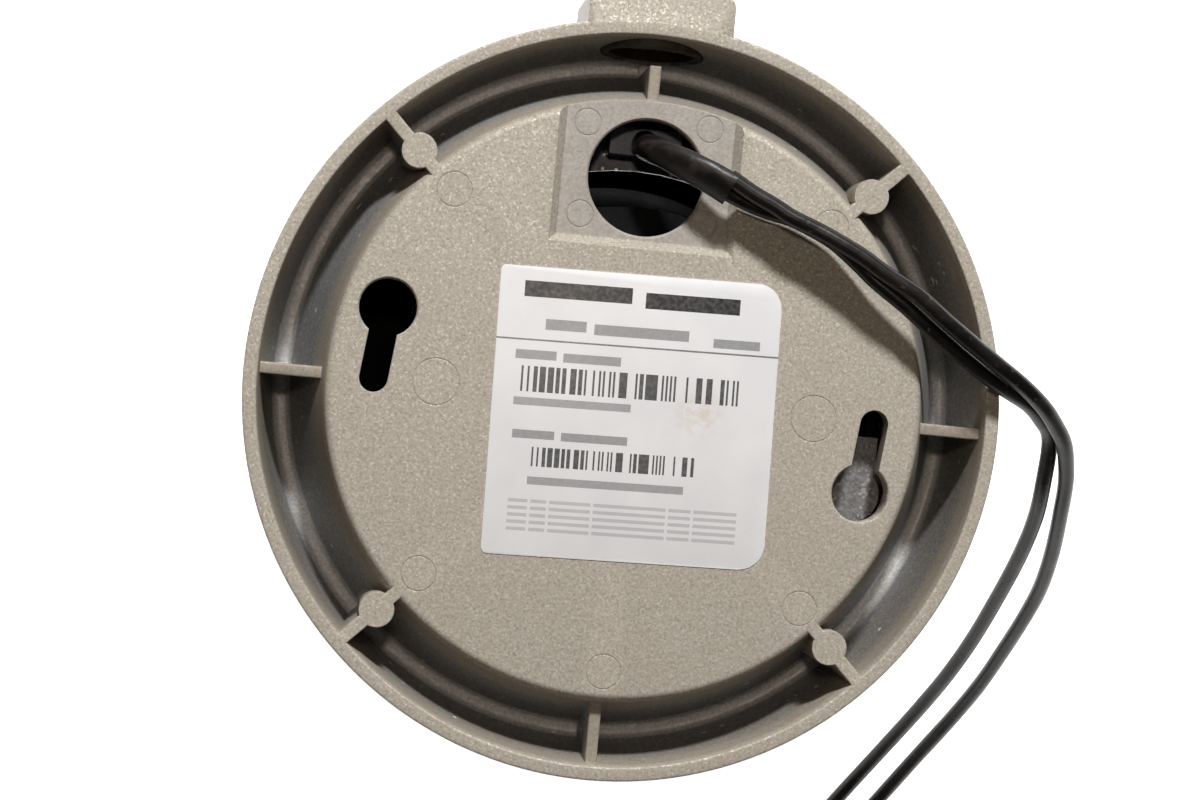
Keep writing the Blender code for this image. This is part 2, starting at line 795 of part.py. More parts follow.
def pan_body(pivot):
    turntable = revolve(
        "pan_turntable",
        [
            (HUB_BORE, BRACKET_TOP),
            (HUB_RADIUS, BRACKET_TOP),
            (HUB_RADIUS, TURNTABLE_TOP),
            (TURNTABLE_RADIUS, TURNTABLE_TOP),
            (TURNTABLE_RADIUS, TURNTABLE_BOTTOM),
            (HUB_BORE, TURNTABLE_BOTTOM),
        ],
        steps=28,
    )
    round_end = arc((0, DOME_CENTRE_Z), 8.0, 180, 360, 9)
    arm = [(-11.0, -11.4), *round_end, (11.0, -11.4)]
    for side, name in ((-1, "left"), (1, "right")):
        middle = side * (YOKE_INNER + YOKE_OUTER) / 2
        outer = sorted((side * (YOKE_OUTER - 1.0), side * (LINER_INNER - 3 * GAP)))
        join(
            turntable,
            slab(f"yoke_arm_{name}", arm, YOKE_OUTER - YOKE_INNER, (0, 1, 0), (0, 0, 1), (middle, 0, 0)),
            box(f"liner_post_{name}", (outer[0], -4.0, -46.5), (outer[1], 4.0, -43.0)),
        )
        cut(turntable, sideways(f"pivot_hole_{name}", side * 25, side * 32, PIVOT_BORE, 14))
    finish(turntable, "black_plastic", pivot)
    section = [(HUB_BORE, -6.8), (20.3, -6.8), (20.3, -8.0), (HUB_BORE, -8.0)]
    retainer = revolve("pan_retainer_ring", section, steps=24)
    finish(retainer, "zinc_steel", pivot)
    finish(dome_liner(), "black_plastic", pivot)


def dome_liner():
    """A thin black dome behind the clear one, with a slot for the lens and a flange that keeps light out."""
    inner = [(x, DOME_CENTRE_Z + y) for x, y in arc((0, 0), LINER_INNER, -90, 0, 6)]
    outer = [(x, DOME_CENTRE_Z + y) for x, y in arc((0, 0), LINER_OUTER, 0, -90, 6)]
    inner[0] = (0.0, inner[0][1])
    outer[-1] = (0.0, outer[-1][1])
    top = [(LINER_INNER, -39.2), (LINER_FLANGE, -39.2), (LINER_FLANGE, -40.2), (LINER_OUTER, -40.2)]
    liner = revolve("dome_liner", inner + top + outer, closed=False, steps=32)
    half = LINER_SLOT_HALF_WIDTH
    cut(liner, box("liner_slot", (-half, -17.0, -96.0), (half, 60.0, LINER_SLOT_TOP)))
    return liner


def tilt_body(pivot):
    section = [(21.0, -48.0), (24.6, -48.0), (24.6, -56.0), (21.0, -56.0)]
    carriage = revolve("tilt_carriage", section, steps=28)
    for side, name in ((-1, "left"), (1, "right")):
        join(carriage, sideways(f"lug_{name}", side * 22.5, side * 26.6, 4.0, 20))
        cut(carriage, sideways(f"lug_bore_{name}", side * 20, side * 28, PIVOT_BORE, 14))
        knob = screw(f"tilt_screw_{name}", 4.5, 3.2, 1.5, 8.4)
        knob.location = Vector((side * (YOKE_OUTER + GAP), 0, DOME_CENTRE_Z)) * MM
        knob.rotation_euler = (0.0, -side * math.pi / 2, 0.0)
        finish(knob, "stainless", pivot)
    finish(carriage, "black_plastic", pivot)


def camera_body(pivot):
    cradle = revolve(
        "camera_cradle",
        [
            (11.7, -45.7),
            (23.5, -45.7),
            (23.5, -47.7),
            (20.7, -47.7),
            (20.7, -57.0),
            (18.7, -57.0),
            (18.7, -47.7),
            (11.7, -47.7),
        ],
        steps=28,
    )
    sides = (-STANDOFF_OFFSET, STANDOFF_OFFSET)
    corners = [(x, y) for x in sides for y in sides]
    for i, corner in enumerate(corners, 1):
        join(cradle, upright(f"cradle_post_{i}", corner, -46.5, -43.3, 2.2, 12))
        finish(upright(f"board_standoff_{i}", corner, -41.5, -33.5, 2.2, 6), "nickel", pivot)
    finish(cradle, "black_plastic", pivot)
    board = rounded_rectangle((-BOARD_HALF_SIDE,) * 2, (BOARD_HALF_SIDE,) * 2, (2.0,) * 4)
    finish(plate("sensor_board", [board], -43.0, -41.8), "circuit_board", pivot)
    finish(plate("processor_board", [board], -33.2, -32.0), "circuit_board", pivot)
    finish(box("image_sensor", (-5.5, -4.5, -44.8), (5.5, 4.5, -43.3)), "silicon", pivot)


def lens(pivot):
    section = [(7.4, -43.3), (11.4, -43.3), (11.4, -50.2), (10.4, -51.0), (7.4, -51.0)]
    finish(revolve("lens_mount", section, steps=20), "black_plastic", pivot)
    barrel = revolve(
        "lens_barrel",
        [
            (0.0, -46.5),
            (7.1, -46.5),
            (7.1, -51.3),
            (BARREL_RADIUS, -51.3),
            (BARREL_RADIUS, -79.0),
            (13.2, -79.8),
            (13.2, -87.6),
            (12.8, -88.0),
            (11.6, -88.0),
            (10.3, -84.0),
            (0.0, -84.0),
        ],
        closed=False,
        steps=24,
    )
    finish(barrel, "black_plastic", pivot)
    glass = [(0.0, -84.3), (9.9, -84.3), (9.9, -85.0), (8.0, -85.9), (5.5, -86.6), (2.8, -87.0), (0.0, -87.1)]
    finish(revolve("front_lens", glass, closed=False, steps=20), "glass", pivot)
    cover = box("iris_motor_cover", (-6.5, -19.5, -72.0), (6.5, -BARREL_RADIUS - GAP, -65.5))
    finish(cover, "black_plastic", pivot)


def lens_ring(name, top, bottom, knob_angle, pivot):
    """A turning ring on the barrel and the small knurled screw that locks it."""
    middle = (top + bottom) / 2
    inner, outer = BARREL_RADIUS + GAP, 15.0
    ring = revolve(f"{name}_ring", [(inner, top), (outer, top), (outer, bottom), (inner, bottom)], steps=24)
    finish(ring, "black_plastic", pivot)
    knob = revolve(
        f"{name}_lock_screw",
        [(0.0, 7.0), (1.9, 7.0), (2.2, 6.6), (2.2, 2.0), (1.2, 2.0), (1.2, 0.0), (0.0, 0.0)],
        closed=False,
        steps=10,
    )
    outwards = Matrix.Rotation(math.radians(knob_angle), 4, "Z") @ Matrix.Rotation(math.radians(90), 4, "Y")
    knob.matrix_world = Matrix.Translation(Vector(polar(outer + GAP, knob_angle, middle)) * MM) @ outwards
    finish(knob, "stainless", pivot)


def gimbal():
    pan = joint("pan_axis", (0, 0, BRACKET_BOTTOM))
    tilt = joint("tilt_axis", (0, 0, DOME_CENTRE_Z), pan)
    roll = joint("roll_axis", (0, 0, DOME_CENTRE_Z), tilt)
    pan_body(pan)
    tilt_body(tilt)
    camera_body(roll)
    lens(roll)
    lens_ring("zoom", -58.5, -64.5, 0, joint("zoom_axis", (0, 0, -61.5), roll))
    lens_ring("focus", -73.0, -78.5, 180, joint("focus_axis", (0, 0, -75.75), roll))


# Leads and their connectors


def towards_minus_x(thing, start):
    """Turns a shape made about Z so that its top points along -X from a point."""
    thing.matrix_world = Matrix.Translation(Vector(start) * MM) @ Matrix.Rotation(math.radians(-90), 4, "Y")
    return thing


def connectors():
    bnc = revolve(
        "bnc_jack",
        [
            (0.0, 31.0),
            (1.2, 31.0),
            (1.2, 22.0),
            (4.1, 22.0),
            (4.1, 31.0),
            (4.9, 31.0),
            (4.9, 17.0),
            (6.6, 16.4),
            (6.6, 12.6),
            (5.2, 12.0),
            (4.6, 4.0),
            (2.4, 0.0),
            (0.0, 0.0),
        ],
        closed=False,
        steps=16,
    )
    finish(towards_minus_x(bnc, (-2.3, -106.0, -90.8)), "nickel")
    jack = revolve(
        "dc_jack",
        [
            (0.0, 30.0),
            (1.0, 30.0),
            (1.0, 21.0),
            (2.8, 21.0),
            (2.8, 31.0),
            (5.0, 31.0),
            (5.0, 12.0),
            (3.8, 9.5),
            (2.2, 0.0),
            (0.0, 0.0),
        ],
        closed=False,
        steps=16,
    )
    finish(towards_minus_x(jack, (-0.3, -123.3, -92.7)), "black_plastic")


def leads():
    finish(tube("cable_sleeve", SLEEVE_ROUTE, SLEEVE_RADIUS, 4.0), "black_rubber")
    finish(tube("video_lead", VIDEO_ROUTE, LEAD_RADIUS, 7.5), "black_rubber")
    finish(tube("power_lead", POWER_ROUTE, LEAD_RADIUS, 7.5), "black_rubber")
    finish(tube("gimbal_harness", HARNESS_ROUTE, 0.9, 4.0), "black_rubber")


def build():
    base_housing()
    rating_label()
    conduit_plug()
    plug_seal_ring()
    dome_cover()
    cover_o_ring()
    dome_bubble()
    bubble_gasket()
    bubble_clamp_ring()
    fasteners()
    pan_bracket()
    connection_board()
    board_parts()
    osd_button()
    gimbal()
    leads()
    connectors()


build()
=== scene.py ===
"""Looks of a ceiling-mounted dome CCTV camera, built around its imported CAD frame.

The camera lies dome down, so the viewer sees its back. The shapes are sized in millimetres and become
metres where each mesh is made; the materials and the stage are in metres. The axis of the dome is Z and
the mounting face is at Z = 0.
"""

import math

import bmesh
import bpy
from mathutils import Matrix, Vector, noise


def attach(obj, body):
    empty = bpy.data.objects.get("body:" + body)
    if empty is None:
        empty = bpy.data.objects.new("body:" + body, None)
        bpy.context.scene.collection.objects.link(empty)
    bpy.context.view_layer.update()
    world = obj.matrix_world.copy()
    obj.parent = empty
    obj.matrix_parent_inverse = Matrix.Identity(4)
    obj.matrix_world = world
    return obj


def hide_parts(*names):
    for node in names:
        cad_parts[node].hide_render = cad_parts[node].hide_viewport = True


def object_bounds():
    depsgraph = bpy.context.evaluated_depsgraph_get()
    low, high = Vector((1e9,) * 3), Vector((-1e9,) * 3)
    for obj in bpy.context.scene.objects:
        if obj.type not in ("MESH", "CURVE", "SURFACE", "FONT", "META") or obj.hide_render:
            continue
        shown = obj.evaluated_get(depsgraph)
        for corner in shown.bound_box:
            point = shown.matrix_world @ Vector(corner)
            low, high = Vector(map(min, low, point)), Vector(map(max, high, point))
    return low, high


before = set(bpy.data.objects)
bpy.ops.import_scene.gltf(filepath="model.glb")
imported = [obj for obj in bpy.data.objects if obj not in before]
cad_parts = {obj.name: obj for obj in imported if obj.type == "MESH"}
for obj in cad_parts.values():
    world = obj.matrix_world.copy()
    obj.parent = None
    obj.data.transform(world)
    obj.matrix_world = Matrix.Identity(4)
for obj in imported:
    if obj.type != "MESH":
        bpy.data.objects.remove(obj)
cad_low, cad_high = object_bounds()

MM = 0.001
WELD = 1e-7

# Back housing, in millimetres: the plate and the rim are level at Z = 0

PLATE_RADIUS = 52.5
RIM_RADIUS = 67.0
TROUGH_FLOOR = -22.0
SKIRT_END = -30.0
JUST_UNDER = -0.03
PILLAR_ANGLES = (45, 135, 225, 315)
PILLAR_CIRCLE = 56.8
PILLAR_RADIUS = 3.1
WEB_ANGLES = (0, 90, 180, 270)
WEB_OUTER = 65.6
WEB_FOOT = -23.5
POCKET_HALF_WIDTH = 15.0
POCKET_EDGE = 28.3
POCKET_FLOOR = -1.8
POCKET_SLOPE = 1.4
HOLE = (0.0, 39.5)
HOLE_RADIUS = 10.3
ENTRY_X, ENTRY_Y = 43.05, 12.45
ENTRY_RADIUS = 5.05
SEAT_X = 44.45
SLOT_RADIUS = 2.5
CUT_FROM, CUT_TO = -7, 3
CONDUIT_Z = -12.2
CONDUIT_RADIUS = 9.4
BOSS_END = 72.5
BOSS_HALF = (12.9, 3.8)
LABEL_CENTRE = (1.4, -2.9)
LABEL_HALF = (25.0, 25.3)
LABEL_TURN = 1.2
LABEL_THICKNESS = 0.13

# Domes, cover screws and lens

DOME_CENTRE_Z = -52.0
DOME_RADII = (43.5, 46.0)
LINER_RADII = (40.3, 41.5)
LINER_SLOT_HALF = (14.5, 38.5)
LINER_SLOT_Y = 21.5
LINER_SLOT_TOP = -65.5
SCREW_SEAT = -40.8
LENS_RING_BORE = 12.3
LENS_RING_RADIUS = 15.0

# Leads

SLEEVE_ROUTE = (
    (0.3, 46.3, -11.0),
    (0.2, 45.6, -7.0),
    (1.0, 44.7, -2.6),
    (3.9, 43.3, 0.7),
    (7.7, 41.5, 3.3),
    (12.0, 39.5, 4.4),
    (14.3, 38.4, 4.7),
)
VIDEO_ROUTE = (
    (12.7, 38.4, 3.4),
    (17.8, 36.5, 3.1),
    (21.8, 35.4, 3.1),
    (25.4, 34.7, 3.2),
    (29.7, 33.1, 3.4),
    (33.6, 31.2, 3.8),
    (37.8, 28.0, 4.4),
    (41.4, 25.0, 4.9),
    (47.1, 21.1, 5.5),
    (51.6, 17.7, 5.5),
    (56.9, 14.0, 4.8),
    (62.7, 10.5, 3.5),
    (67.5, 8.2, 1.7),
    (72.1, 6.2, -0.8),
    (75.4, 3.9, -3.7),
    (78.6, 0.3, -7.7),
    (79.9, -8.4, -13.9),
    (80.9, -15.0, -20.8),
    (81.0, -23.0, -30.0),
    (80.2, -33.0, -42.0),
    (79.0, -41.5, -52.0),
    (77.0, -49.5, -61.0),
    (74.2, -57.5, -70.0),
    (70.0, -67.0, -79.5),
    (65.2, -76.5, -87.5),
    (59.5, -86.5, -93.8),
    (53.0, -95.0, -96.2),
    (44.5, -101.5, -96.4),
    (34.0, -105.3, -96.4),
    (23.0, -106.8, -96.2),
    (13.0, -106.8, -94.6),
    (4.0, -106.3, -91.6),
    (-2.0, -106.0, -90.8),
)
POWER_ROUTE = (
    (13.7, 40.5, 5.8),
    (18.3, 37.9, 6.1),
    (22.0, 36.2, 6.3),
    (25.1, 34.5, 6.6),
    (29.4, 32.9, 6.8),
    (33.3, 31.2, 7.2),
    (38.0, 28.9, 7.6),
    (42.1, 26.4, 7.9),
    (48.4, 23.1, 7.9),
    (53.2, 19.6, 7.7),
    (58.6, 16.0, 6.8),
    (64.3, 12.4, 5.7),
    (69.3, 9.4, 4.3),
    (73.9, 6.2, 2.0),
    (77.4, 3.1, -1.1),
    (80.7, -0.6, -5.1),
    (83.6, -6.7, -12.0),
    (85.3, -13.6, -19.4),
    (87.0, -21.0, -28.2),
    (88.0, -28.5, -37.5),
    (87.6, -35.5, -46.0),
    (86.5, -43.0, -55.0),
    (84.8, -51.0, -64.0),
    (81.8, -59.5, -73.0),
    (77.5, -69.0, -82.0),
    (72.6, -79.0, -90.0),
    (67.0, -88.5, -94.8),
    (60.5, -98.0, -96.3),
    (52.5, -106.5, -96.4),
    (43.0, -113.5, -96.4),
    (32.0, -118.8, -96.4),
    (21.0, -121.9, -96.2),
    (11.0, -123.1, -94.6),
    (0.0, -123.3, -92.7),
)
LEAD_RADIUS = 1.5
SLEEVE_RADIUS = 2.5
SLEEVE_GRIP_HALF = (2.0, 3.35)
SLEEVE_SLANT = 42
BNC_START = (-2.3, -106.0, -90.8)
DC_START = (-0.3, -123.3, -92.7)


# Camera


def add_object(name, data):
    thing = bpy.data.objects.new(name, data)
    bpy.context.scene.collection.objects.link(thing)
    return thing


def add_camera():
    data = bpy.data.cameras.new("camera")
    data.sensor_width = 36.0
    data.lens = 76.14
    data.clip_start = 0.01
    camera = add_object("camera", data)
    right = Vector((0.99047, 0.09363, 0.10106))
    up = Vector((-0.09305, 0.99561, -0.01042))
    axes = Matrix((right, up, right.cross(up))).transposed().to_4x4()
    camera.matrix_world = Matrix.Translation((-0.0499, 0.0002, 0.443)) @ axes
    bpy.context.scene.camera = camera


# Material building


class Nodes:
    """A material with a Principled shader, and short ways to add nodes to it."""

    def __init__(self, name, colour, roughness, metallic=0.0, **values):
        self.material = bpy.data.materials.new(name)
        self.material.use_nodes = True
        self.tree = self.material.node_tree
        self.shader = self.tree.nodes["Principled BSDF"]
        self.shader.inputs["Base Color"].default_value = (*colour, 1.0)
        self.shader.inputs["Roughness"].default_value = roughness
        self.shader.inputs["Metallic"].default_value = metallic
        for key, value in values.items():
            self.shader.inputs[key.replace("_", " ")].default_value = value
        self.place = self.add("ShaderNodeTexCoord").outputs["Object"]

    def add(self, kind, inputs=None, **settings):
        node = self.tree.nodes.new(kind)
        for key, value in settings.items():
            setattr(node, key, value)
        for key, value in (inputs or {}).items():
            self.set(node.inputs[key], value)
        return node

    def set(self, socket, value):
        if isinstance(value, bpy.types.NodeSocket):
            self.tree.links.new(value, socket)
        else:
            socket.default_value = value

    def noise(self, scale, detail=2.0, roughness=0.5, place=None, distortion=0.0):
        inputs = {
            "Vector": place or self.place,
            "Scale": scale,
            "Detail": detail,
            "Roughness": roughness,
            "Distortion": distortion,
        }
        return self.add("ShaderNodeTexNoise", inputs).outputs["Fac"]

    def cells(self, scale, place=None):
        """A random value for each small cell."""
        node = self.add("ShaderNodeTexVoronoi", {"Vector": place or self.place, "Scale": scale})
        return self.add("ShaderNodeSeparateColor", {"Color": node.outputs["Color"]}).outputs["Red"]

    def math(self, operation, a, b=0.0, c=0.0):
        return self.add("ShaderNodeMath", {0: a, 1: b, 2: c}, operation=operation).outputs[0]

    def span(self, value, low, high, to_low=0.0, to_high=1.0, smooth=False):
        """Maps a range of a value to another range, and clamps it."""
        inputs = {"Value": value, "From Min": low, "From Max": high, "To Min": to_low, "To Max": to_high}
        kind = "SMOOTHSTEP" if smooth else "LINEAR"
        return self.add("ShaderNodeMapRange", inputs, interpolation_type=kind).outputs["Result"]

    def mix(self, share, a, b):
        node = self.add("ShaderNodeMix", data_type="RGBA")
        self.set(node.inputs[0], share)
        for socket, value in ((node.inputs[6], a), (node.inputs[7], b)):
            self.set(socket, value if isinstance(value, bpy.types.NodeSocket) else (*value, 1.0))
        return node.outputs[2]

    def split(self, place=None):
        node = self.add("ShaderNodeSeparateXYZ", {"Vector": place or self.place})
        return node.outputs["X"], node.outputs["Y"], node.outputs["Z"]

    def colour(self, value):
        self.set(self.shader.inputs["Base Color"], value)

    def rough(self, value):
        self.set(self.shader.inputs["Roughness"], value)

    def bump(self, height, distance, strength=1.0, rounding=0.0):
        inputs = {"Height": height, "Distance": distance, "Strength": strength}
        if rounding:
            inputs["Normal"] = self.add("ShaderNodeBevel", {"Radius": rounding}, samples=4).outputs["Normal"]
        self.set(self.shader.inputs["Normal"], self.add("ShaderNodeBump", inputs).outputs["Normal"])


# Shapes


def rounded_profile(corners, closed, step=14.0):
    """Points of a profile given as (radius, height, fillet), with each corner rounded by its fillet."""
    points = []
    count = len(corners)
    for i, (r, z, fillet) in enumerate(corners):
        here = Vector((r, z))
        if not fillet or (not closed and i in (0, count - 1)):
            points.append(here)
            continue
        before = Vector(corners[i - 1][:2]) - here
        after = Vector(corners[(i + 1) % count][:2]) - here
        turn = math.pi - before.angle(after)
        reach = min(fillet * math.tan(turn / 2), 0.48 * min(before.length, after.length))
        first = here + before.normalized() * reach
        last = here + after.normalized() * reach
        inwards = (before.normalized() + after.normalized()).normalized()
        centre = here + inwards * reach / math.sin(turn / 2)
        start = math.atan2(*reversed(first - centre))
        sweep = (math.atan2(*reversed(last - centre)) - start + math.pi) % (2 * math.pi) - math.pi
        steps = max(2, math.ceil(math.degrees(abs(sweep)) / step))
        for k in range(steps + 1):
            angle = start + sweep * k / steps
            points.append(centre + (first - centre).length * Vector((math.cos(angle), math.sin(angle))))
    return points


def from_bmesh(name, bm):
    bmesh.ops.remove_doubles(bm, verts=bm.verts, dist=WELD)
    bmesh.ops.recalc_face_normals(bm, faces=bm.faces)
    mesh = bpy.data.meshes.new(name)
    bm.to_mesh(mesh)
    bm.free()
    return add_object(name, mesh)


def lathe(name, corners, closed=True, steps=128, ripple=None):
    """Turns a profile about Z. ripple(angle, radius, height) may change the radius."""
    profile = rounded_profile(corners, closed)
    bm = bmesh.new()
    rings = []
    for i in range(steps):
        a = 2 * math.pi * i / steps
        ring = []
        for r, z in profile:
            radius = ripple(a, r, z) if ripple else r
            ring.append(bm.verts.new((radius * math.cos(a) * MM, radius * math.sin(a) * MM, z * MM)))
        rings.append(ring)
    spans = len(profile) if closed else len(profile) - 1
    for ring, following in zip(rings, rings[1:] + rings[:1]):
        for j in range(spans):
            k = (j + 1) % len(profile)
            bm.faces.new((ring[j], following[j], following[k], ring[k]))
    return from_bmesh(name, bm)


def bridge(bm, low, high):
    """The side faces between two closed rings of points."""
    for corners in zip(low, low[1:] + low[:1], high[1:] + high[:1], high):
        bm.faces.new(corners)


def polar(radius, angle, z=0.0):
    a = math.radians(angle)
    return Vector((radius * math.cos(a), radius * math.sin(a), z))


def arc(centre, radius, start, end, count):
    angles = [math.radians(start + (end - start) * i / (count - 1)) for i in range(count)]
    return [(centre[0] + radius * math.cos(a), centre[1] + radius * math.sin(a)) for a in angles]


def rounded_rectangle(half_x, half_y, radii):
    """An outline whose corner radii are given from the lower left, counterclockwise."""
    outline = []
    for (sx, sy), start, radius in zip(((-1, -1), (1, -1), (1, 1), (-1, 1)), (180, 270, 0, 90), radii):
        outline += arc((sx * (half_x - radius), sy * (half_y - radius)), radius, start, start + 90, 8)
    return outline


def capsule(start, end, radius):
    along = math.degrees(math.atan2(end[1] - start[1], end[0] - start[0]))
    return arc(end, radius, along - 90, along + 90, 24) + arc(start, radius, along + 90, along + 270, 24)


def prism(name, outline, bottom, top, edge=0.0):
    """A solid over an outline in XY. edge rounds its top's edges."""
    bm = bmesh.new()
    low = [bm.verts.new((x * MM, y * MM, bottom * MM)) for x, y in outline]
    high = [bm.verts.new((x * MM, y * MM, top * MM)) for x, y in outline]
    bm.faces.new(low)
    cap = bm.faces.new(high)
    bridge(bm, low, high)
    if edge:
        bmesh.ops.bevel(bm, geom=list(cap.edges), offset=edge * MM, segments=3, profile=0.5, affect="EDGES")
    return from_bmesh(name, bm)


def rod(name, start, end, radius, sides=48, end_radius=None):
    """A cylinder or cone from one point to another."""
    start, end = Vector(start), Vector(end)
    bm = bmesh.new()
    bmesh.ops.create_cone(
        bm,
        cap_ends=True,
        segments=sides,
        radius1=radius * MM,
        radius2=(radius if end_radius is None else end_radius) * MM,
        depth=(end - start).length * MM,
    )
    turn = (end - start).to_track_quat("Z", "Y").to_matrix().to_4x4()
    bm.transform(Matrix.Translation((start + end) / 2 * MM) @ turn)
    return from_bmesh(name, bm)


def box(name, low, high):
    bm = bmesh.new()
    bmesh.ops.create_cube(bm, size=1.0)
    bmesh.ops.scale(bm, vec=[(b - a) * MM for a, b in zip(low, high)], verts=bm.verts)
    bmesh.ops.translate(bm, vec=[(a + b) / 2 * MM for a, b in zip(low, high)], verts=bm.verts)
    return from_bmesh(name, bm)


def settle(thing):
    """Applies a piece's modifiers to its mesh."""
    evaluated = thing.evaluated_get(bpy.context.evaluated_depsgraph_get())
    mesh = bpy.data.meshes.new_from_object(evaluated)
    thing.modifiers.clear()
    thing.data = mesh


def combine(target, operation, tools):
    for tool in tools:
        step = target.modifiers.new(tool.name, "BOOLEAN")
        step.operation = operation
        step.solver = "EXACT"
        step.object = tool
    settle(target)
    for tool in tools:
        bpy.data.objects.remove(tool, do_unlink=True)


def join(target, *tools):
    combine(target, "UNION", tools)


def cut(target, *tools):
    combine(target, "DIFFERENCE", tools)


def move(thing, matrix):
    thing.data.transform(matrix)
    return thing


def shift(x, y, z=0.0):
    """A translation given in millimetres."""
    return Matrix.Translation((x * MM, y * MM, z * MM))


def along_y(thing, y, z):
    """Turns a shape made about Z so that its top faces +Y."""
    return move(thing, shift(0.0, y, z) @ Matrix.Rotation(math.radians(-90), 4, "X"))


def towards_minus_x(thing, start):
    """Turns a shape made about Z so that its top points along -X from a point."""
    return move(thing, shift(*start) @ Matrix.Rotation(math.radians(-90), 4, "Y"))


def finish(thing, material, body, slot, *nodes, sharp=35):
    """Gives a piece its shading, material and body, and hides the CAD nodes it stands for."""
    thing.data.materials.clear()
    thing.data.materials.append(MATERIALS[material])
    if thing.type == "MESH":
        thing.data.shade_smooth()
        thing.data.set_sharp_from_angle(angle=math.radians(sharp))
    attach(thing, body)
    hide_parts(*nodes)
    return thing


# Cords


def smooth_route(route, spacing):
    """Points at an even spacing on the smooth curve through a route's points."""
    ends = [Vector(route[0]) * 2 - Vector(route[1]), Vector(route[-1]) * 2 - Vector(route[-2])]
    knots = [ends[0]] + [Vector(p) for p in route] + [ends[1]]
    fine = []
    for before, a, b, after in zip(knots, knots[1:], knots[2:], knots[3:]):
        for i in range(20):
            t = i / 20
            rise = (b - before) * t
            bend = (2 * before - 5 * a + 4 * b - after) * t * t
            swing = (3 * a - before - 3 * b + after) * t**3
            fine.append(0.5 * (2 * a + rise + bend + swing))
    fine.append(knots[-2])
    lengths = [0.0]
    for a, b in zip(fine, fine[1:]):
        lengths.append(lengths[-1] + (b - a).length)
    count = max(4, round(lengths[-1] / spacing))
    points = []
    at = 0
    for i in range(count + 1):
        wanted = lengths[-1] * i / count
        while at < len(fine) - 2 and lengths[at + 1] < wanted:
            at += 1
        share = (wanted - lengths[at]) / (lengths[at + 1] - lengths[at])
        points.append(fine[at].lerp(fine[at + 1], share))
    return points


def lead(name, route, seed):
    """A round lead, a little uneven in thickness as soft PVC is."""
    curve = bpy.data.curves.new(name, "CURVE")
    curve.dimensions = "3D"
    curve.bevel_depth = LEAD_RADIUS * MM
    curve.bevel_resolution = 7
    curve.use_fill_caps = True
    points = smooth_route(route, 1.5)
    spline = curve.splines.new("POLY")
    spline.points.add(len(points) - 1)
    for point, place in zip(spline.points, points):
        point.co = (*(place * MM), 1.0)
        point.radius = 1.0 + 0.02 * noise.noise(place * 0.11 + Vector((seed, 0, 0)))
    return add_object(name, curve)


def sleeve():
    """Heat-shrink sleeve with a lip at its end.

    It is round in the hole and a slanted oval where it grips the two leads.
    """
    points = smooth_route(SLEEVE_ROUTE, 0.35)
    bm = bmesh.new()
    rings = []
    sides = 40
    slant = math.radians(SLEEVE_SLANT)
    for i, place in enumerate(points):
        t = i / (len(points) - 1)
        along = (points[min(i + 1, len(points) - 1)] - points[max(i - 1, 0)]).normalized()
        side = along.cross(Vector((0, 0, 1))).normalized()
        over = side.cross(along)
        grip = min(1.0, max(0.0, (t - 0.4) / 0.45))
        waist = 0.1 * math.sin(9 * t) * (1 - grip)
        wide = SLEEVE_RADIUS + (SLEEVE_GRIP_HALF[0] - SLEEVE_RADIUS) * grip + waist
        tall = SLEEVE_RADIUS + (SLEEVE_GRIP_HALF[1] - SLEEVE_RADIUS) * grip
        ring = []
        for k in range(sides):
            a = 2 * math.pi * k / sides
            u, v = math.cos(a) * wide, math.sin(a) * tall
            across = u * math.cos(slant) - v * math.sin(slant)
            upwards = u * math.sin(slant) + v * math.cos(slant)
            spot = side * across + over * upwards
            crease = noise.noise(Vector((t * 7.0, math.cos(a) * 1.3, math.sin(a) * 1.3)))
            ring.append(bm.verts.new((place + spot * (1 + 0.045 * crease)) * MM))
        rings.append(ring)
    lip = [bm.verts.new(v.co.lerp(points[-1] * MM, 0.2)) for v in rings[-1]]
    well = [bm.verts.new(v.co + (points[-2] - points[-1]).normalized() * 1.2 * MM) for v in lip]
    rings += [lip, well]
    for ring, following in zip(rings, rings[1:]):
        bridge(bm, ring, following)
    bm.faces.new(rings[0])
    bm.faces.new(rings[-1])
    return from_bmesh("lead_sleeve", bm)


def bnc_connector():
    """A bayonet jack for the video lead: knurled shell, two bayonet pins and a centre contact. Its moulded
    boot is made separately.
    """

    def knurl(angle, radius, height):
        return radius + (0.12 * math.cos(angle * 30) if 12.9 < height < 16.1 and radius > 6 else 0.0)

    shell = lathe(
        "bnc_connector",
        [
            (0.0, 22.0, 0),
            (4.1, 22.0, 0.1),
            (4.1, 31.0, 0.15),
            (4.9, 31.0, 0.2),
            (4.9, 17.0, 0.1),
            (6.6, 16.4, 0.25),
            (6.6, 12.6, 0.25),
            (5.2, 12.0, 0.2),
            (5.0, 8.0, 0.2),
            (0.0, 8.0, 0),
        ],
        closed=False,
        steps=180,
        ripple=knurl,
    )
    pins = [rod(f"pin_{side}", (0, side * 4.5, 27.5), (0, side * 5.9, 27.5), 0.9, 20) for side in (-1, 1)]
    contact = rod("contact", (0, 0, 21.0), (0, 0, 29.5), 0.7, 20)
    join(shell, *pins, contact)
    return towards_minus_x(shell, BNC_START)


def ribbed_boot(name, base, tip, length, start):
    """The moulded strain relief behind a connector."""

    def ribs(angle, radius, height):
        return radius - (0.28 if (height * 0.9) % 1.0 < 0.35 and 0.8 < height < length - 1 else 0.0)

    heights = [length * i / 48 for i in range(49)]
    profile = [(0.0, 0.0, 0)]
    profile += [(tip + (base - tip) * (h / length) ** 0.7, h, 0) for h in heights]
    profile.append((0.0, length, 0))
    return towards_minus_x(lathe(name, profile, closed=False, steps=48, ripple=ribs), start)


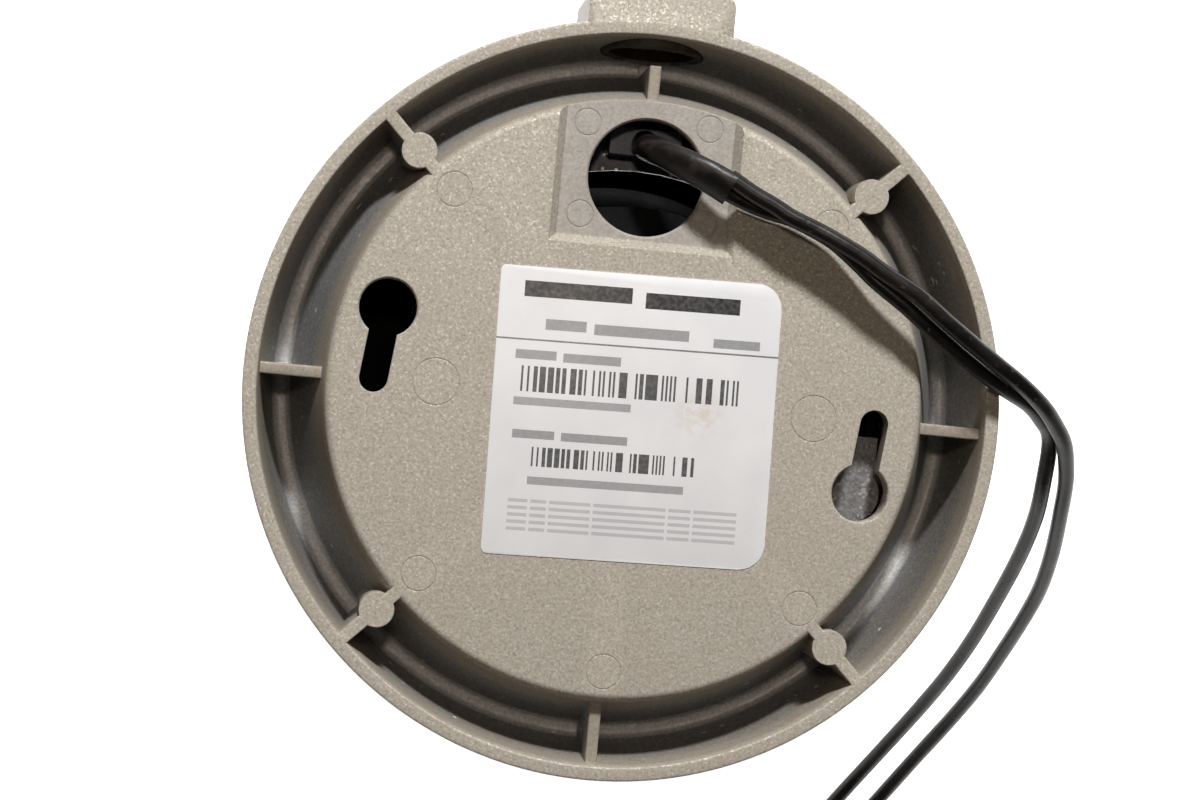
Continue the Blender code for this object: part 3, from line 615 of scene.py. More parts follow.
def dc_connector():
    """A barrel jack for the power lead: glossy black body with an open end. Its centre contact is made
    separately.
    """
    body = lathe(
        "dc_connector",
        [
            (0.0, 21.0, 0),
            (2.8, 21.0, 0.1),
            (2.8, 31.0, 0.2),
            (5.0, 31.0, 0.5),
            (5.0, 12.0, 0.8),
            (3.8, 9.5, 0.6),
            (3.4, 9.0, 0),
            (0.0, 9.0, 0),
        ],
        closed=False,
        steps=96,
    )
    return towards_minus_x(body, DC_START)


def add_cords():
    video = finish(lead("video_cord", VIDEO_ROUTE, 3.0), "lead_pvc", "housing", "black_rubber", "video_lead")
    power = finish(lead("power_cord", POWER_ROUTE, 9.0), "lead_pvc", "housing", "black_rubber", "power_lead")
    shrink = finish(sleeve(), "sleeve_shrink", "housing", "black_rubber", "cable_sleeve")
    bnc = finish(bnc_connector(), "nickel", "housing", "nickel", "bnc_jack")
    boot = ribbed_boot("bnc_boot", 4.7, 2.4, 8.0, BNC_START)
    finish(boot, "lead_pvc", "housing", "black_rubber")
    dc = finish(dc_connector(), "moulded_black", "housing", "black_plastic", "dc_jack")
    dc_boot = ribbed_boot("dc_boot", 3.5, 2.2, 9.2, DC_START)
    finish(dc_boot, "lead_pvc", "housing", "black_rubber")
    contact = towards_minus_x(rod("dc_contact", (0, 0, 20.5), (0, 0, 29.6), 0.95, 24), DC_START)
    finish(contact, "nickel", "housing", "nickel")


# Materials


def sprayed_tone(m, tone, flakes):
    """The paint's own colour: two tones of grain, pale and dark flakes, and faint clouds."""
    cloud = m.noise(45, 2)
    paint = m.mix(tone, (0.345, 0.316, 0.267), (0.57, 0.53, 0.462))
    paint = m.mix(m.span(flakes, 0.86, 0.97, 0.0, 0.6), paint, (0.78, 0.75, 0.69))
    paint = m.mix(m.span(flakes, 0.2, 0.06, 0.0, 0.5), paint, (0.27, 0.242, 0.203))
    return m.mix(m.span(cloud, 0.35, 0.7, 0.0, 0.15), paint, (0.4, 0.355, 0.295))


def grey_pocket(m, tone, paint, place):
    """Greyer paint on the floor of the pocket."""
    x, y, z = place
    low = m.span(z, -1.2 * MM, -1.6 * MM)
    narrow = m.span(m.math("ABSOLUTE", x), (POCKET_HALF_WIDTH + 0.2) * MM, POCKET_HALF_WIDTH * MM)
    beyond = m.span(y, (POCKET_EDGE - 0.1) * MM, (POCKET_EDGE + 0.1) * MM)
    pocket = m.math("MULTIPLY", m.math("MULTIPLY", low, narrow), beyond)
    grey = m.mix(tone, (0.36, 0.35, 0.345), (0.5, 0.49, 0.485))
    return m.mix(m.math("MULTIPLY", pocket, 0.7), paint, grey)


def deep_trough_with_painted_light(m, grain, flakes, radius, z):
    """The darker grey deep in the trough: browner on its outer wall as painted warm light, and pale on its
    floor as a painted highlight.
    """
    trough_tone = m.span(grain, 0.35, 0.68)
    trough_grey = m.mix(trough_tone, (0.185, 0.188, 0.193), (0.33, 0.335, 0.34))
    # Painted warm light: the outer wall is coloured browner.
    outer_wall_warm_light = m.mix(trough_tone, (0.19, 0.172, 0.15), (0.33, 0.305, 0.27))
    trough_grey = m.mix(m.span(radius, 62.4 * MM, 63.2 * MM, 0.0, 0.8), trough_grey, outer_wall_warm_light)
    # Painted highlight: the floor of the trough is coloured pale where the light catches it.
    floor = m.mix(trough_tone, (0.42, 0.425, 0.43), (0.66, 0.665, 0.67))
    trough_grey = m.mix(m.span(z, (TROUGH_FLOOR + 1.8) * MM, (TROUGH_FLOOR + 0.6) * MM), trough_grey, floor)
    return m.mix(m.span(flakes, 0.86, 0.95, 0.0, 0.5), trough_grey, (0.6, 0.6, 0.59))


def speckled_paint(name, in_trough):
    """Sprayed metallic paint with fine flakes.

    In the trough a brown band of painted shade runs down from the top of its walls, and deeper down the
    colour turns darker grey.
    """
    m = Nodes(name, (0.44, 0.4, 0.33), 0.5, 0.0)
    grain = m.noise(1900, 3, 0.65)
    flakes = m.cells(3200)
    tone = m.span(grain, 0.3, 0.7)
    paint = sprayed_tone(m, tone, flakes)
    roughness = m.span(flakes, 0.0, 1.0, 0.68, 0.5)
    metallic = m.span(flakes, 0.75, 0.97, 0.08, 0.3)
    if in_trough:
        x, y, z = m.split()
        paint = grey_pocket(m, tone, paint, (x, y, z))
        radius = m.math("SQRT", m.math("ADD", m.math("MULTIPLY", x, x), m.math("MULTIPLY", y, y)))
        inside = m.math("LESS_THAN", radius, (RIM_RADIUS - 1.5) * MM)
        waver = m.math("MULTIPLY_ADD", m.noise(220, 2), 1.2 * MM, z)
        painted_edge_shade = m.math("MULTIPLY", m.span(waver, -0.2 * MM, -2.6 * MM, smooth=True), inside)
        deep = m.math("MULTIPLY", m.span(waver, -3.0 * MM, -9.0 * MM, smooth=True), inside)
        # Painted shade: a darker brown band at the top of the trough's walls, where they turn down from the
        # plate and the rim.
        brown = m.mix(tone, (0.27, 0.235, 0.19), (0.39, 0.35, 0.295))
        paint = m.mix(painted_edge_shade, paint, brown)
        # Deeper in the trough the colour turns a darker grey.
        paint = m.mix(deep, paint, deep_trough_with_painted_light(m, grain, flakes, radius, z))
        spots = m.span(m.cells(1150), 0.985, 0.99)
        chips = m.math("MULTIPLY", spots, m.span(m.noise(90, 1), 0.56, 0.62))
        paint = m.mix(m.math("MULTIPLY", chips, deep), paint, (0.85, 0.85, 0.84))
        roughness = m.math("MULTIPLY_ADD", deep, -0.08, roughness)
        metallic = m.math("MULTIPLY_ADD", deep, 0.2, metallic)
    m.colour(paint)
    m.rough(roughness)
    m.set(m.shader.inputs["Metallic"], metallic)
    m.bump(m.math("ADD", grain, m.math("MULTIPLY", flakes, 0.3)), 0.00002, 0.8, 0.0003)
    return m.material


def lead_pvc():
    """Satin black PVC with rubbed streaks, also painted as a faint lighter brown sheen, and dust."""
    m = Nodes("lead_pvc", (0.012, 0.011, 0.011), 0.4)
    rub_and_sheen = m.noise(160, 4, 0.6, distortion=0.6)
    dust = m.cells(1900)
    # Partly painted sheen: the rubbed streaks are also a faint lighter brown.
    base = m.mix(m.span(rub_and_sheen, 0.45, 0.75), (0.004, 0.0035, 0.0038), (0.015, 0.0125, 0.0118))
    base = m.mix(m.span(dust, 0.975, 0.99, 0.0, 0.3), base, (0.14, 0.12, 0.11))
    m.colour(base)
    m.rough(m.span(rub_and_sheen, 0.3, 0.75, 0.26, 0.44))
    m.bump(m.noise(900, 3), 0.00004, 0.6)
    return m.material


def sleeve_shrink():
    """Heat-shrink tubing: matt black with brownish scuffs and fine creases."""
    m = Nodes("sleeve_shrink", (0.014, 0.012, 0.012), 0.5)
    scuff = m.noise(210, 5, 0.65, distortion=1.2)
    m.colour(m.mix(m.span(scuff, 0.48, 0.78), (0.006, 0.005, 0.0052), (0.04, 0.03, 0.027)))
    m.rough(m.span(scuff, 0.3, 0.8, 0.34, 0.56))
    m.bump(m.noise(650, 4, 0.6), 0.00012, 0.7)
    return m.material


def moulded_plastic(name, colour, roughness, grain=1400, gloss=0.5):
    """Moulded plastic with a fine spark-eroded grain and slight marbling."""
    m = Nodes(name, colour, roughness, Specular_IOR_Level=gloss)
    cloud = m.noise(120, 3)
    lighter = tuple(min(1.0, c * 1.7 + 0.004) for c in colour)
    m.colour(m.mix(m.span(cloud, 0.35, 0.75), colour, lighter))
    m.rough(m.span(m.noise(grain, 2), 0.3, 0.7, roughness - 0.08, roughness + 0.1))
    m.bump(m.noise(grain, 3, 0.6), 0.00003, 0.7, 0.00015)
    return m.material


def rubber():
    m = Nodes("rubber", (0.02, 0.02, 0.02), 0.75)
    m.colour(m.mix(m.noise(300, 4), (0.012, 0.012, 0.012), (0.035, 0.034, 0.033)))
    m.bump(m.noise(1800, 2), 0.00003, 0.6)
    return m.material


def plated_steel(name, colour, roughness):
    """Plated sheet or turned metal with a mottled plating and fine scratches."""
    m = Nodes(name, colour, roughness, 1.0)
    mottle = m.noise(700, 4, 0.6)
    x, y, z = m.split()
    stretched = m.add("ShaderNodeCombineXYZ", {"X": m.math("MULTIPLY", x, 12.0), "Y": y, "Z": z}).outputs[0]
    scratches = m.noise(260, 3, 0.7, place=stretched)
    darker = tuple(c * 0.72 for c in colour)
    m.colour(m.mix(m.span(mottle, 0.35, 0.7), darker, colour))
    m.rough(m.span(scratches, 0.3, 0.75, roughness - 0.1, roughness + 0.15))
    m.bump(mottle, 0.00002, 0.5, 0.0001)
    return m.material


def bracket_steel():
    """Galvanised sheet behind the keyholes: dark grey with bright grains."""
    m = Nodes("bracket_steel", (0.2, 0.2, 0.21), 0.45, 0.55)
    grain = m.noise(1500, 3, 0.65)
    flakes = m.cells(2300)
    base = m.mix(m.span(grain, 0.3, 0.7), (0.16, 0.16, 0.17), (0.36, 0.36, 0.375))
    m.colour(m.mix(m.span(flakes, 0.85, 0.97, 0.0, 0.7), base, (0.7, 0.7, 0.72)))
    m.rough(m.span(flakes, 0.0, 1.0, 0.55, 0.35))
    m.bump(grain, 0.00004, 0.8)
    return m.material


def circuit_board():
    """Dark blue-black solder mask over copper tracks, with rows of tinned pads."""
    m = Nodes("circuit_board", (0.012, 0.018, 0.032), 0.3)
    x, y, _ = m.split()
    tracks = m.cells(420)
    base = m.mix(m.span(tracks, 0.45, 0.55), (0.02, 0.029, 0.05), (0.042, 0.058, 0.095))
    rows = m.math("GREATER_THAN", m.math("PINGPONG", x, 0.00127), 0.001)
    columns = m.math("GREATER_THAN", m.math("PINGPONG", y, 0.00127), 0.001)
    pads = m.math("MULTIPLY", m.math("MULTIPLY", rows, columns), m.span(m.noise(120), 0.5, 0.55))
    m.colour(m.mix(pads, base, (0.36, 0.34, 0.28)))
    m.set(m.shader.inputs["Metallic"], pads)
    m.rough(m.span(tracks, 0.0, 1.0, 0.22, 0.4))
    m.bump(tracks, 0.00002, 0.5)
    return m.material


def clear_dome_material():
    """Polycarbonate dome: clear, with the faint haze and hairline swirls of a handled dome."""
    m = Nodes("clear_dome", (0.97, 0.98, 0.985), 0.02, Transmission_Weight=1.0, IOR=1.58)
    haze = m.noise(60, 5, 0.7, distortion=1.5)
    m.rough(m.span(haze, 0.45, 0.85, 0.012, 0.07))
    m.bump(m.noise(900, 2), 0.000002, 0.3)
    return m.material


def lens_glass():
    """Coated lens glass, which shows its coating as a faint violet and green tint."""
    m = Nodes("lens_glass", (0.012, 0.012, 0.02), 0.03, IOR=1.7, Coat_Weight=1.0, Coat_Roughness=0.02)
    rim = m.add("ShaderNodeLayerWeight", {"Blend": 0.35}).outputs["Facing"]
    tint = m.mix(m.span(rim, 0.1, 0.8), (0.02, 0.012, 0.05), (0.01, 0.05, 0.045))
    m.colour(m.mix(m.span(m.noise(80, 2), 0.3, 0.7, 0.0, 0.3), tint, (0.05, 0.03, 0.08)))
    return m.material


def silicon():
    """The sensor's die and its gold frame."""
    m = Nodes("silicon", (0.1, 0.08, 0.14), 0.2, 0.4)
    x, y, _ = m.split()
    wide = m.math("LESS_THAN", m.math("ABSOLUTE", x), 0.0032)
    tall = m.math("LESS_THAN", m.math("ABSOLUTE", y), 0.0024)
    die = m.math("MULTIPLY", wide, tall)
    colours = m.mix(m.noise(500, 3), (0.07, 0.04, 0.13), (0.05, 0.12, 0.12))
    m.colour(m.mix(die, (0.12, 0.11, 0.1), colours))
    m.rough(m.span(m.noise(900), 0.0, 1.0, 0.12, 0.3))
    return m.material


def plug_material():
    """Brown-black nylon of the conduit plug, dusty inside."""
    m = Nodes("plug_nylon", (0.03, 0.02, 0.016), 0.6)
    dust = m.noise(500, 4, 0.7)
    m.colour(m.mix(m.span(dust, 0.4, 0.75), (0.02, 0.013, 0.01), (0.07, 0.052, 0.042)))
    m.rough(m.span(dust, 0.3, 0.8, 0.45, 0.75))
    m.bump(dust, 0.00006, 0.7)
    return m.material


def in_box(m, x, y, left, right, bottom, top):
    """1 inside a rectangle of the label, in its own millimetres."""
    wide = m.math("COMPARE", x, (left + right) / 2 * MM, (right - left) / 2 * MM)
    tall = m.math("COMPARE", y, (bottom + top) / 2 * MM, (top - bottom) / 2 * MM)
    return m.math("MULTIPLY", wide, tall)


def label_words(m, x, y):
    """Plain bars in place of words, and a rule under the heading."""
    words = [  # left, right, bottom, top, strength
        (-20.6, -1.6, 20.0, 22.8, 1.0),
        (0.8, 17.6, 19.4, 22.2, 1.0),
        (-16.5, -9.3, 14.4, 16.3, 0.62),
        (-7.9, 8.9, 14.1, 16.0, 0.62),
        (13.3, 21.6, 13.4, 15.0, 0.62),
        (-25.0, 25.0, 12.35, 12.65, 0.8),
        (-21.4, -14.2, 9.1, 10.7, 0.6),
        (-13.0, -2.8, 8.9, 10.5, 0.6),
        (-21.2, -0.5, 1.0, 2.4, 0.55),
        (-21.0, -13.6, -4.8, -3.3, 0.6),
        (-12.4, -0.7, -4.9, -3.4, 0.6),
        (-17.8, 9.8, -12.8, -11.4, 0.55),
    ]
    ink = 0.0
    for left, right, bottom, top, strength in words:
        word = m.math("MULTIPLY", in_box(m, x, y, left, right, bottom, top), strength)
        ink = m.math("MAXIMUM", ink, word)
    return ink


def label_small_print(m, x, y):
    """Thin grey lines with gaps, in place of small print."""
    lines = m.math("GREATER_THAN", m.math("PINGPONG", m.math("ADD", y, 0.2 * MM), 0.62 * MM), 0.32 * MM)
    along = m.add("ShaderNodeCombineXYZ", {"X": x, "Y": 0.0}).outputs[0]
    gaps = m.span(m.noise(900, 0, place=along), 0.3, 0.36)
    small = m.math("MULTIPLY", m.math("MULTIPLY", lines, gaps), in_box(m, x, y, -20.9, 19.6, -21.4, -15.2))
    return m.math("MULTIPLY", small, 0.3)


def label_bars(m, x, y, left, right, bottom, top, pitch):
    """A strip of random upright bars, which holds no data."""
    column = m.math("FLOOR", m.math("DIVIDE", x, pitch * MM))
    bars = m.add("ShaderNodeTexWhiteNoise", {"W": column}, noise_dimensions="1D").outputs["Value"]
    printed = m.math("GREATER_THAN", bars, 0.48)
    strip = m.math("MULTIPLY", printed, in_box(m, x, y, left, right, bottom, top))
    return m.math("MULTIPLY", strip, 0.92)


def label_stain(m, x, y):
    """A faint brown stain to the right of the label's middle."""
    across = m.math("POWER", m.math("ADD", x, -11.5 * MM), 2.0)
    upwards = m.math("POWER", m.math("ADD", y, -1.8 * MM), 2.0)
    away = m.math("SQRT", m.math("ADD", across, upwards))
    return m.math("MULTIPLY", m.span(away, 5.2 * MM, 1.8 * MM), m.span(m.noise(420, 4, 0.7), 0.42, 0.6))


def label_material():
    """White satin label film with generic printing."""
    m = Nodes("label_film", (0.8, 0.8, 0.82), 0.42)
    x, y, _ = m.split()
    ink = m.math("MAXIMUM", label_words(m, x, y), label_small_print(m, x, y))
    for strip in ((-21.3, 18.4, 3.4, 7.9, 0.36), (-19.0, 11.4, -9.6, -6.2, 0.31)):
        ink = m.math("MAXIMUM", ink, label_bars(m, x, y, *strip))
    fade = m.span(m.noise(1400, 3), 0.25, 0.6, 0.9, 1.0)
    film = m.mix(m.span(m.noise(70, 3), 0.3, 0.75), (0.755, 0.765, 0.8), (0.84, 0.85, 0.88))
    film = m.mix(m.math("MULTIPLY", label_stain(m, x, y), 0.55), film, (0.68, 0.56, 0.42))
    m.colour(m.mix(m.math("MULTIPLY", ink, fade), film, (0.03, 0.03, 0.033)))
    m.rough(m.math("MULTIPLY_ADD", ink, -0.08, m.span(m.noise(300, 3), 0.3, 0.7, 0.36, 0.5)))
    m.bump(m.noise(260, 3), 0.00002, 0.35)
    return m.material


MATERIALS = {
    "casting_paint": speckled_paint("casting_paint", True),
    "cover_paint": speckled_paint("cover_paint", False),
    "lead_pvc": lead_pvc(),
    "sleeve_shrink": sleeve_shrink(),
    "moulded_black": moulded_plastic("moulded_black", (0.018, 0.018, 0.019), 0.4),
    "liner_black": moulded_plastic("liner_black", (0.004, 0.004, 0.0045), 0.7, 1800, 0.03),
    "dull_black": moulded_plastic("dull_black", (0.004, 0.004, 0.005), 0.8, gloss=0.1),
    # Painted sheen: the blue-black loom header is coloured a lighter blue-grey for its shine.
    "header_blue_sheen": moulded_plastic("header_blue_sheen", (0.075, 0.095, 0.14), 0.3, 900),
    "header_white": moulded_plastic("header_white", (0.7, 0.69, 0.64), 0.45),
    "rubber": rubber(),
    "zinc": plated_steel("zinc", (0.46, 0.46, 0.48), 0.4),
    "stainless": plated_steel("stainless", (0.62, 0.61, 0.6), 0.3),
    "nickel": plated_steel("nickel", (0.66, 0.64, 0.58), 0.25),
    "bracket_steel": bracket_steel(),
    "circuit_board": circuit_board(),
    "clear_dome": clear_dome_material(),
    "lens_glass": lens_glass(),
    "silicon": silicon(),
    "plug_nylon": plug_material(),
    "label_film": label_material(),
}


# Back housing


def trough_web(name, angle, inner_top, thickness, top, edge):
    """A web across the trough, with its top's long edges rounded."""
    outline = [(inner_top, top), (58.2, WEB_FOOT), (WEB_OUTER, WEB_FOOT), (WEB_OUTER, top)]
    half = thickness / 2
    bm = bmesh.new()
    faces = []
    for side in (-half, half):
        faces.append([bm.verts.new((x * MM, side * MM, z * MM)) for x, z in outline])
    bm.faces.new(faces[0])
    bm.faces.new(faces[1])
    bridge(bm, *faces)
    rims = [e for e in bm.edges if all(abs(v.co.z - top * MM) < WELD for v in e.verts)]
    long_rims = [e for e in rims if abs(e.verts[0].co.x - e.verts[1].co.x) > MM]
    bmesh.ops.bevel(bm, geom=long_rims, offset=edge * MM, segments=3, profile=0.5, affect="EDGES")
    bm.transform(Matrix.Rotation(math.radians(angle), 4, "Z"))
    return from_bmesh(name, bm)


def pocket_cutter():
    """The recess round the cable hole, with sloped walls."""
    outlines = []
    for slope in (0.0, POCKET_SLOPE):
        side, near = POCKET_HALF_WIDTH + slope, POCKET_EDGE - slope
        outlines.append([(-side, near), (side, near), (side, 60.0), (-side, 60.0)])
    floor, mouth = outlines
    bm = bmesh.new()
    levels = []
    for outline, z in ((floor, POCKET_FLOOR), (mouth, 0.06), (mouth, CUT_TO)):
        levels.append([bm.verts.new((x * MM, y * MM, z * MM)) for x, y in outline])
    bm.faces.new(levels[0])
    bm.faces.new(levels[2])
    for low, high in zip(levels, levels[1:]):
        bridge(bm, low, high)
    return from_bmesh("pocket", bm)


def ring_groove(name, x, y, radius, z):
    """A cutter for the faint circle an ejector pin leaves."""
    inner, outer = radius - 0.09, radius + 0.09
    ring = lathe(name, [(inner, 0.5, 0), (outer, 0.5, 0), (outer, -0.07, 0), (inner, -0.07, 0)], steps=48)
    return move(ring, shift(x, y, z))


def webs_and_pillars():
    added = []
    for i, angle in enumerate(PILLAR_ANGLES, 1):
        added.append(trough_web(f"pillar_web_{i}", angle, 51.2, 2.3, JUST_UNDER, 0.22))
        outline = arc(polar(PILLAR_CIRCLE, angle)[:2], PILLAR_RADIUS, 0, 352.5, 48)
        added.append(prism(f"pillar_{i}", outline, -25.8, JUST_UNDER, 0.2))
    for i, angle in enumerate(WEB_ANGLES, 1):
        added.append(trough_web(f"web_{i}", angle, 51.6, 2.1, -3.0, 0.3))
    return added


def conduit_boss():
    boss = prism("boss", rounded_rectangle(*BOSS_HALF, (0.8, 0.8, 1.6, 1.6)), -26.0, JUST_UNDER, 0.35)
    return move(boss, shift(0.0, BOSS_END - BOSS_HALF[1]))


def keyhole_cutters(name, side):
    """A round entry with a chamfer, and a slot that leads to the screw's seat."""
    entry = (side * ENTRY_X, -side * ENTRY_Y)
    seat = (side * SEAT_X, 0.0)
    narrow, wide = ENTRY_RADIUS - 0.05, ENTRY_RADIUS + 0.45
    return [
        rod(f"entry_{name}", (*entry, CUT_FROM), (*entry, CUT_TO), ENTRY_RADIUS, 64),
        rod(f"entry_chamfer_{name}", (*entry, -0.3), (*entry, 0.2), narrow, 64, wide),
        prism(f"slot_{name}", capsule(entry, seat, SLOT_RADIUS), CUT_FROM, CUT_TO),
    ]


def ejector_marks():
    marks = [(-33.5, 34.0), (-33.5, -33.3), (0.4, -47.7), (34.1, -33.7), (33.5, 34.0)]
    plate_marks = [(*place, 3.05) for place in marks] + [(-33.6, 0.3, 4.1), (33.5, 0.0, 4.1)]
    cutters = [ring_groove(f"mark_{i}", x, y, radius, 0.0) for i, (x, y, radius) in enumerate(plate_marks)]
    pocket_marks = [(-11.2, 48.3), (-11.1, 32.1), (10.5, 49.2), (10.9, 32.4)]
    for i, (x, y) in enumerate(pocket_marks):
        cutters.append(ring_groove(f"pocket_mark_{i}", x, y, 2.35, POCKET_FLOOR))
    return cutters


def housing_casting():
    body = lathe(
        "housing_casting",
        [
            (0.0, 0.0, 0),
            (PLATE_RADIUS, 0.0, 1.4),
            (59.4, -21.4, 0.5),
            (59.9, TROUGH_FLOOR, 0.4),
            (62.1, TROUGH_FLOOR, 1.2),
            (62.7, -18.0, 1.6),
            (64.5, 0.0, 0.35),
            (RIM_RADIUS, 0.0, 0.45),
            (RIM_RADIUS, SKIRT_END, 0.4),
            (64.3, SKIRT_END, 0),
            (64.3, -26.0, 0),
            (57.2, -26.0, 0),
            (56.3, -22.0, 0),
            (49.5, -4.0, 0),
            (0.0, -4.0, 0),
        ],
        closed=False,
        steps=288,
    )
    join(body, *webs_and_pillars(), conduit_boss())
    removed = [
        pocket_cutter(),
        rod("cable_hole", (*HOLE, CUT_FROM), (*HOLE, CUT_TO), HOLE_RADIUS, 96),
        rod("hole_chamfer", (*HOLE, -2.15), (*HOLE, -1.4), HOLE_RADIUS - 0.05, 96, HOLE_RADIUS + 0.7),
        rod("conduit_bore", (0, 59.5, CONDUIT_Z), (0, 75.0, CONDUIT_Z), CONDUIT_RADIUS, 96),
        *keyhole_cutters("left", -1),
        *keyhole_cutters("right", 1),
        *ejector_marks(),
    ]
    cut(body, *removed)
    return finish(body, "casting_paint", "housing", "housing_paint", "base_housing", sharp=30)


def label_sheet():
    """The label lies on the plate, its edge a film's thickness high."""
    outline = rounded_rectangle(*LABEL_HALF, (1.0, 4.5, 4.5, 1.0))
    sheet = prism("label_sheet", outline, 0.0, LABEL_THICKNESS, 0.05)
    sheet.location = Vector((*LABEL_CENTRE, 0.0)) * MM
    sheet.rotation_euler.z = math.radians(LABEL_TURN)
    return finish(sheet, "label_film", "housing", "label_film", "rating_label")


def conduit_plug():
    def grip(angle, radius, height):
        return radius - (0.15 if radius > 11 and math.cos(angle * 24) > 0.75 else 0.0)

    plug = lathe(
        "conduit_plug_body",
        [
            (0.0, 3.1, 0),
            (11.6, 3.1, 0.6),
            (11.6, 1.5, 0.2),
            (9.1, 1.5, 0.1),
            (9.1, -10.0, 0.35),
            (7.6, -10.0, 0.25),
            (7.6, -8.4, 0.3),
            (0.0, -8.4, 0),
        ],
        closed=False,
        steps=144,
        ripple=grip,
    )
    cut(plug, box("driver_slot", (-7.0, -0.9, 2.1), (7.0, 0.9, 4.0)))
    return finish(along_y(plug, BOSS_END, CONDUIT_Z), "plug_nylon", "housing", "plug_plastic", "conduit_plug")


# Front cover and clear dome


def upright(name, angle, low, high, radius, sides=48):
    """A vertical cylinder on the circle of the cover's screws."""
    return rod(name, polar(PILLAR_CIRCLE, angle, low), polar(PILLAR_CIRCLE, angle, high), radius, sides)


def cover_shell():
    curved = [(51.0 + x, -34.2 + y, 0) for x, y in arc((0, 0), 16.0, -10, -76, 14)]
    shell = lathe(
        "cover_shell",
        [
            (59.6, -26.3, 0.2),
            (64.0, -26.3, 0.2),
            (64.0, -30.3, 0.2),
            (RIM_RADIUS, -30.3, 0.45),
            (RIM_RADIUS, -36.0, 0),
            *curved,
            (48.0, -50.5, 0.5),
            (46.6, -49.8, 0.3),
            (46.6, -47.3, 0.2),
            (52.6, -47.3, 0),
            (55.6, -46.2, 0),
            (59.4, -43.2, 0),
            (62.2, -39.0, 0),
            (63.4, -35.0, 0),
            (63.4, -33.0, 0),
            (59.6, -30.8, 0),
        ],
        steps=240,
    )
    columns, holes = [], []
    for i, angle in enumerate(PILLAR_ANGLES, 1):
        columns.append(upright(f"column_{i}", angle, -45.7, -26.35, 4.3))
        holes.append(upright(f"counterbore_{i}", angle, -60, SCREW_SEAT + 0.3, 3.7))
        holes.append(upright(f"bore_{i}", angle, -42, -25, 1.8, 32))
    join(shell, *columns)
    cut(shell, *holes)
    return finish(shell, "cover_paint", "housing", "housing_paint", "dome_cover")


def cover_screws():
    """Pan-head screws with a six-lobed recess and a security pin."""
    for i, angle in enumerate(PILLAR_ANGLES, 1):
        screw = lathe(
            f"torx_screw_{i}",
            [
                (0.0, 30.0, 0),
                (1.0, 30.0, 0),
                (1.5, 29.2, 0),
                (1.5, 0.0, 0),
                (3.4, 0.0, 0.15),
                (3.4, -1.6, 0.5),
                (2.6, -2.7, 0.8),
                (0.0, -3.0, 0),
            ],
            closed=False,
            steps=48,
        )
        lobes = []
        for k in range(96):
            a = 2 * math.pi * k / 96
            radius = 1.45 + 0.24 * math.cos(6 * a)
            lobes.append((radius * math.cos(a), radius * math.sin(a)))
        cut(screw, prism("recess", lobes, -4.0, -1.2))
        join(screw, rod("security_pin", (0, 0, -2.4), (0, 0, -1.0), 0.45, 20))
        move(screw, Matrix.Translation(polar(PILLAR_CIRCLE, angle, SCREW_SEAT) * MM))
        finish(screw, "stainless", "housing", "stainless", f"cover_screw_{i}")


def domed_shell(name, radii, flange, points, steps):
    """A half sphere that is open at its top, with a flange round its edge."""
    inner = [(x, DOME_CENTRE_Z + y, 0) for x, y in arc((0, 0), radii[0], -90, 0, points)]
    outer = [(x, DOME_CENTRE_Z + y, 0) for x, y in arc((0, 0), radii[1], 0, -90, points)]
    inner[0] = (0.0, inner[0][1], 0)
    outer[-1] = (0.0, outer[-1][1], 0)
    return lathe(name, inner + flange + outer, closed=False, steps=steps)


def clear_dome():
    inner, outer = DOME_RADII
    flange = [(inner, -43.2, 0.2), (51.8, -43.2, 0.2), (51.8, -45.7, 0.2), (outer, -45.7, 0.4)]
    dome = domed_shell("clear_dome", DOME_RADII, flange, 40, 160)
    return finish(dome, "clear_dome", "housing", "clear_polycarbonate", "dome_bubble")


def liner_dome():
    """The black dome that hides the gimbal, with a slot for the lens."""
    inner, outer = LINER_RADII
    flange = [(inner, -39.2, 0.3), (51.2, -39.2, 0.2), (51.2, -40.2, 0.2), (outer, -40.2, 0.4)]
    liner = domed_shell("liner_dome", LINER_RADII, flange, 32, 128)
    window = rounded_rectangle(*LINER_SLOT_HALF, (3.0, 3.0, 3.0, 3.0))
    cut(liner, move(prism("slot", window, -96.0, LINER_SLOT_TOP), shift(0.0, LINER_SLOT_Y)))
    return finish(liner, "liner_black", "pan_yoke", "black_plastic", "dome_liner")


# Lens


def lens_tube():
    """The varifocal lens barrel: steps, a filter thread round the front glass and fine rings."""

    def steps(angle, radius, height):
        groove = -87.4 < height < -80.2 and radius > 13 and (height * 1.1) % 1.0 < 0.3
        return radius - (0.22 if groove else 0.0)

    side = [(13.2, -79.8 - 7.6 * i / 60, 0) for i in range(61)]
    tube = lathe(
        "lens_tube",
        [
            (0.0, -46.5, 0),
            (7.1, -46.5, 0.2),
            (7.1, -51.3, 0),
            (12.0, -51.3, 0.4),
            (12.0, -79.0, 0.3),
            *side,
            (13.2, -88.0, 0.35),
            (11.6, -88.0, 0.2),
            (11.2, -86.9, 0),
            (10.9, -86.6, 0),
            (10.9, -85.9, 0),
            (10.6, -85.6, 0),
            (10.3, -84.0, 0.1),
            (0.0, -84.0, 0),
        ],
        closed=False,
        steps=120,
        ripple=steps,
    )
    return finish(tube, "moulded_black", "camera_module", "black_plastic", "lens_barrel")


def front_glass():
    crown = [math.radians(6 * k) for k in range(16)]
    glass = lathe(
        "front_glass",
        [
            (0.0, -84.3, 0),
            (9.9, -84.3, 0.1),
            (9.9, -85.0, 0.1),
            *((9.6 * math.cos(a), -85.1 - 2.0 * math.sin(a), 0) for a in crown),
        ],
        closed=False,
        steps=96,
    )
    return finish(glass, "lens_glass", "camera_module", "glass", "front_lens")


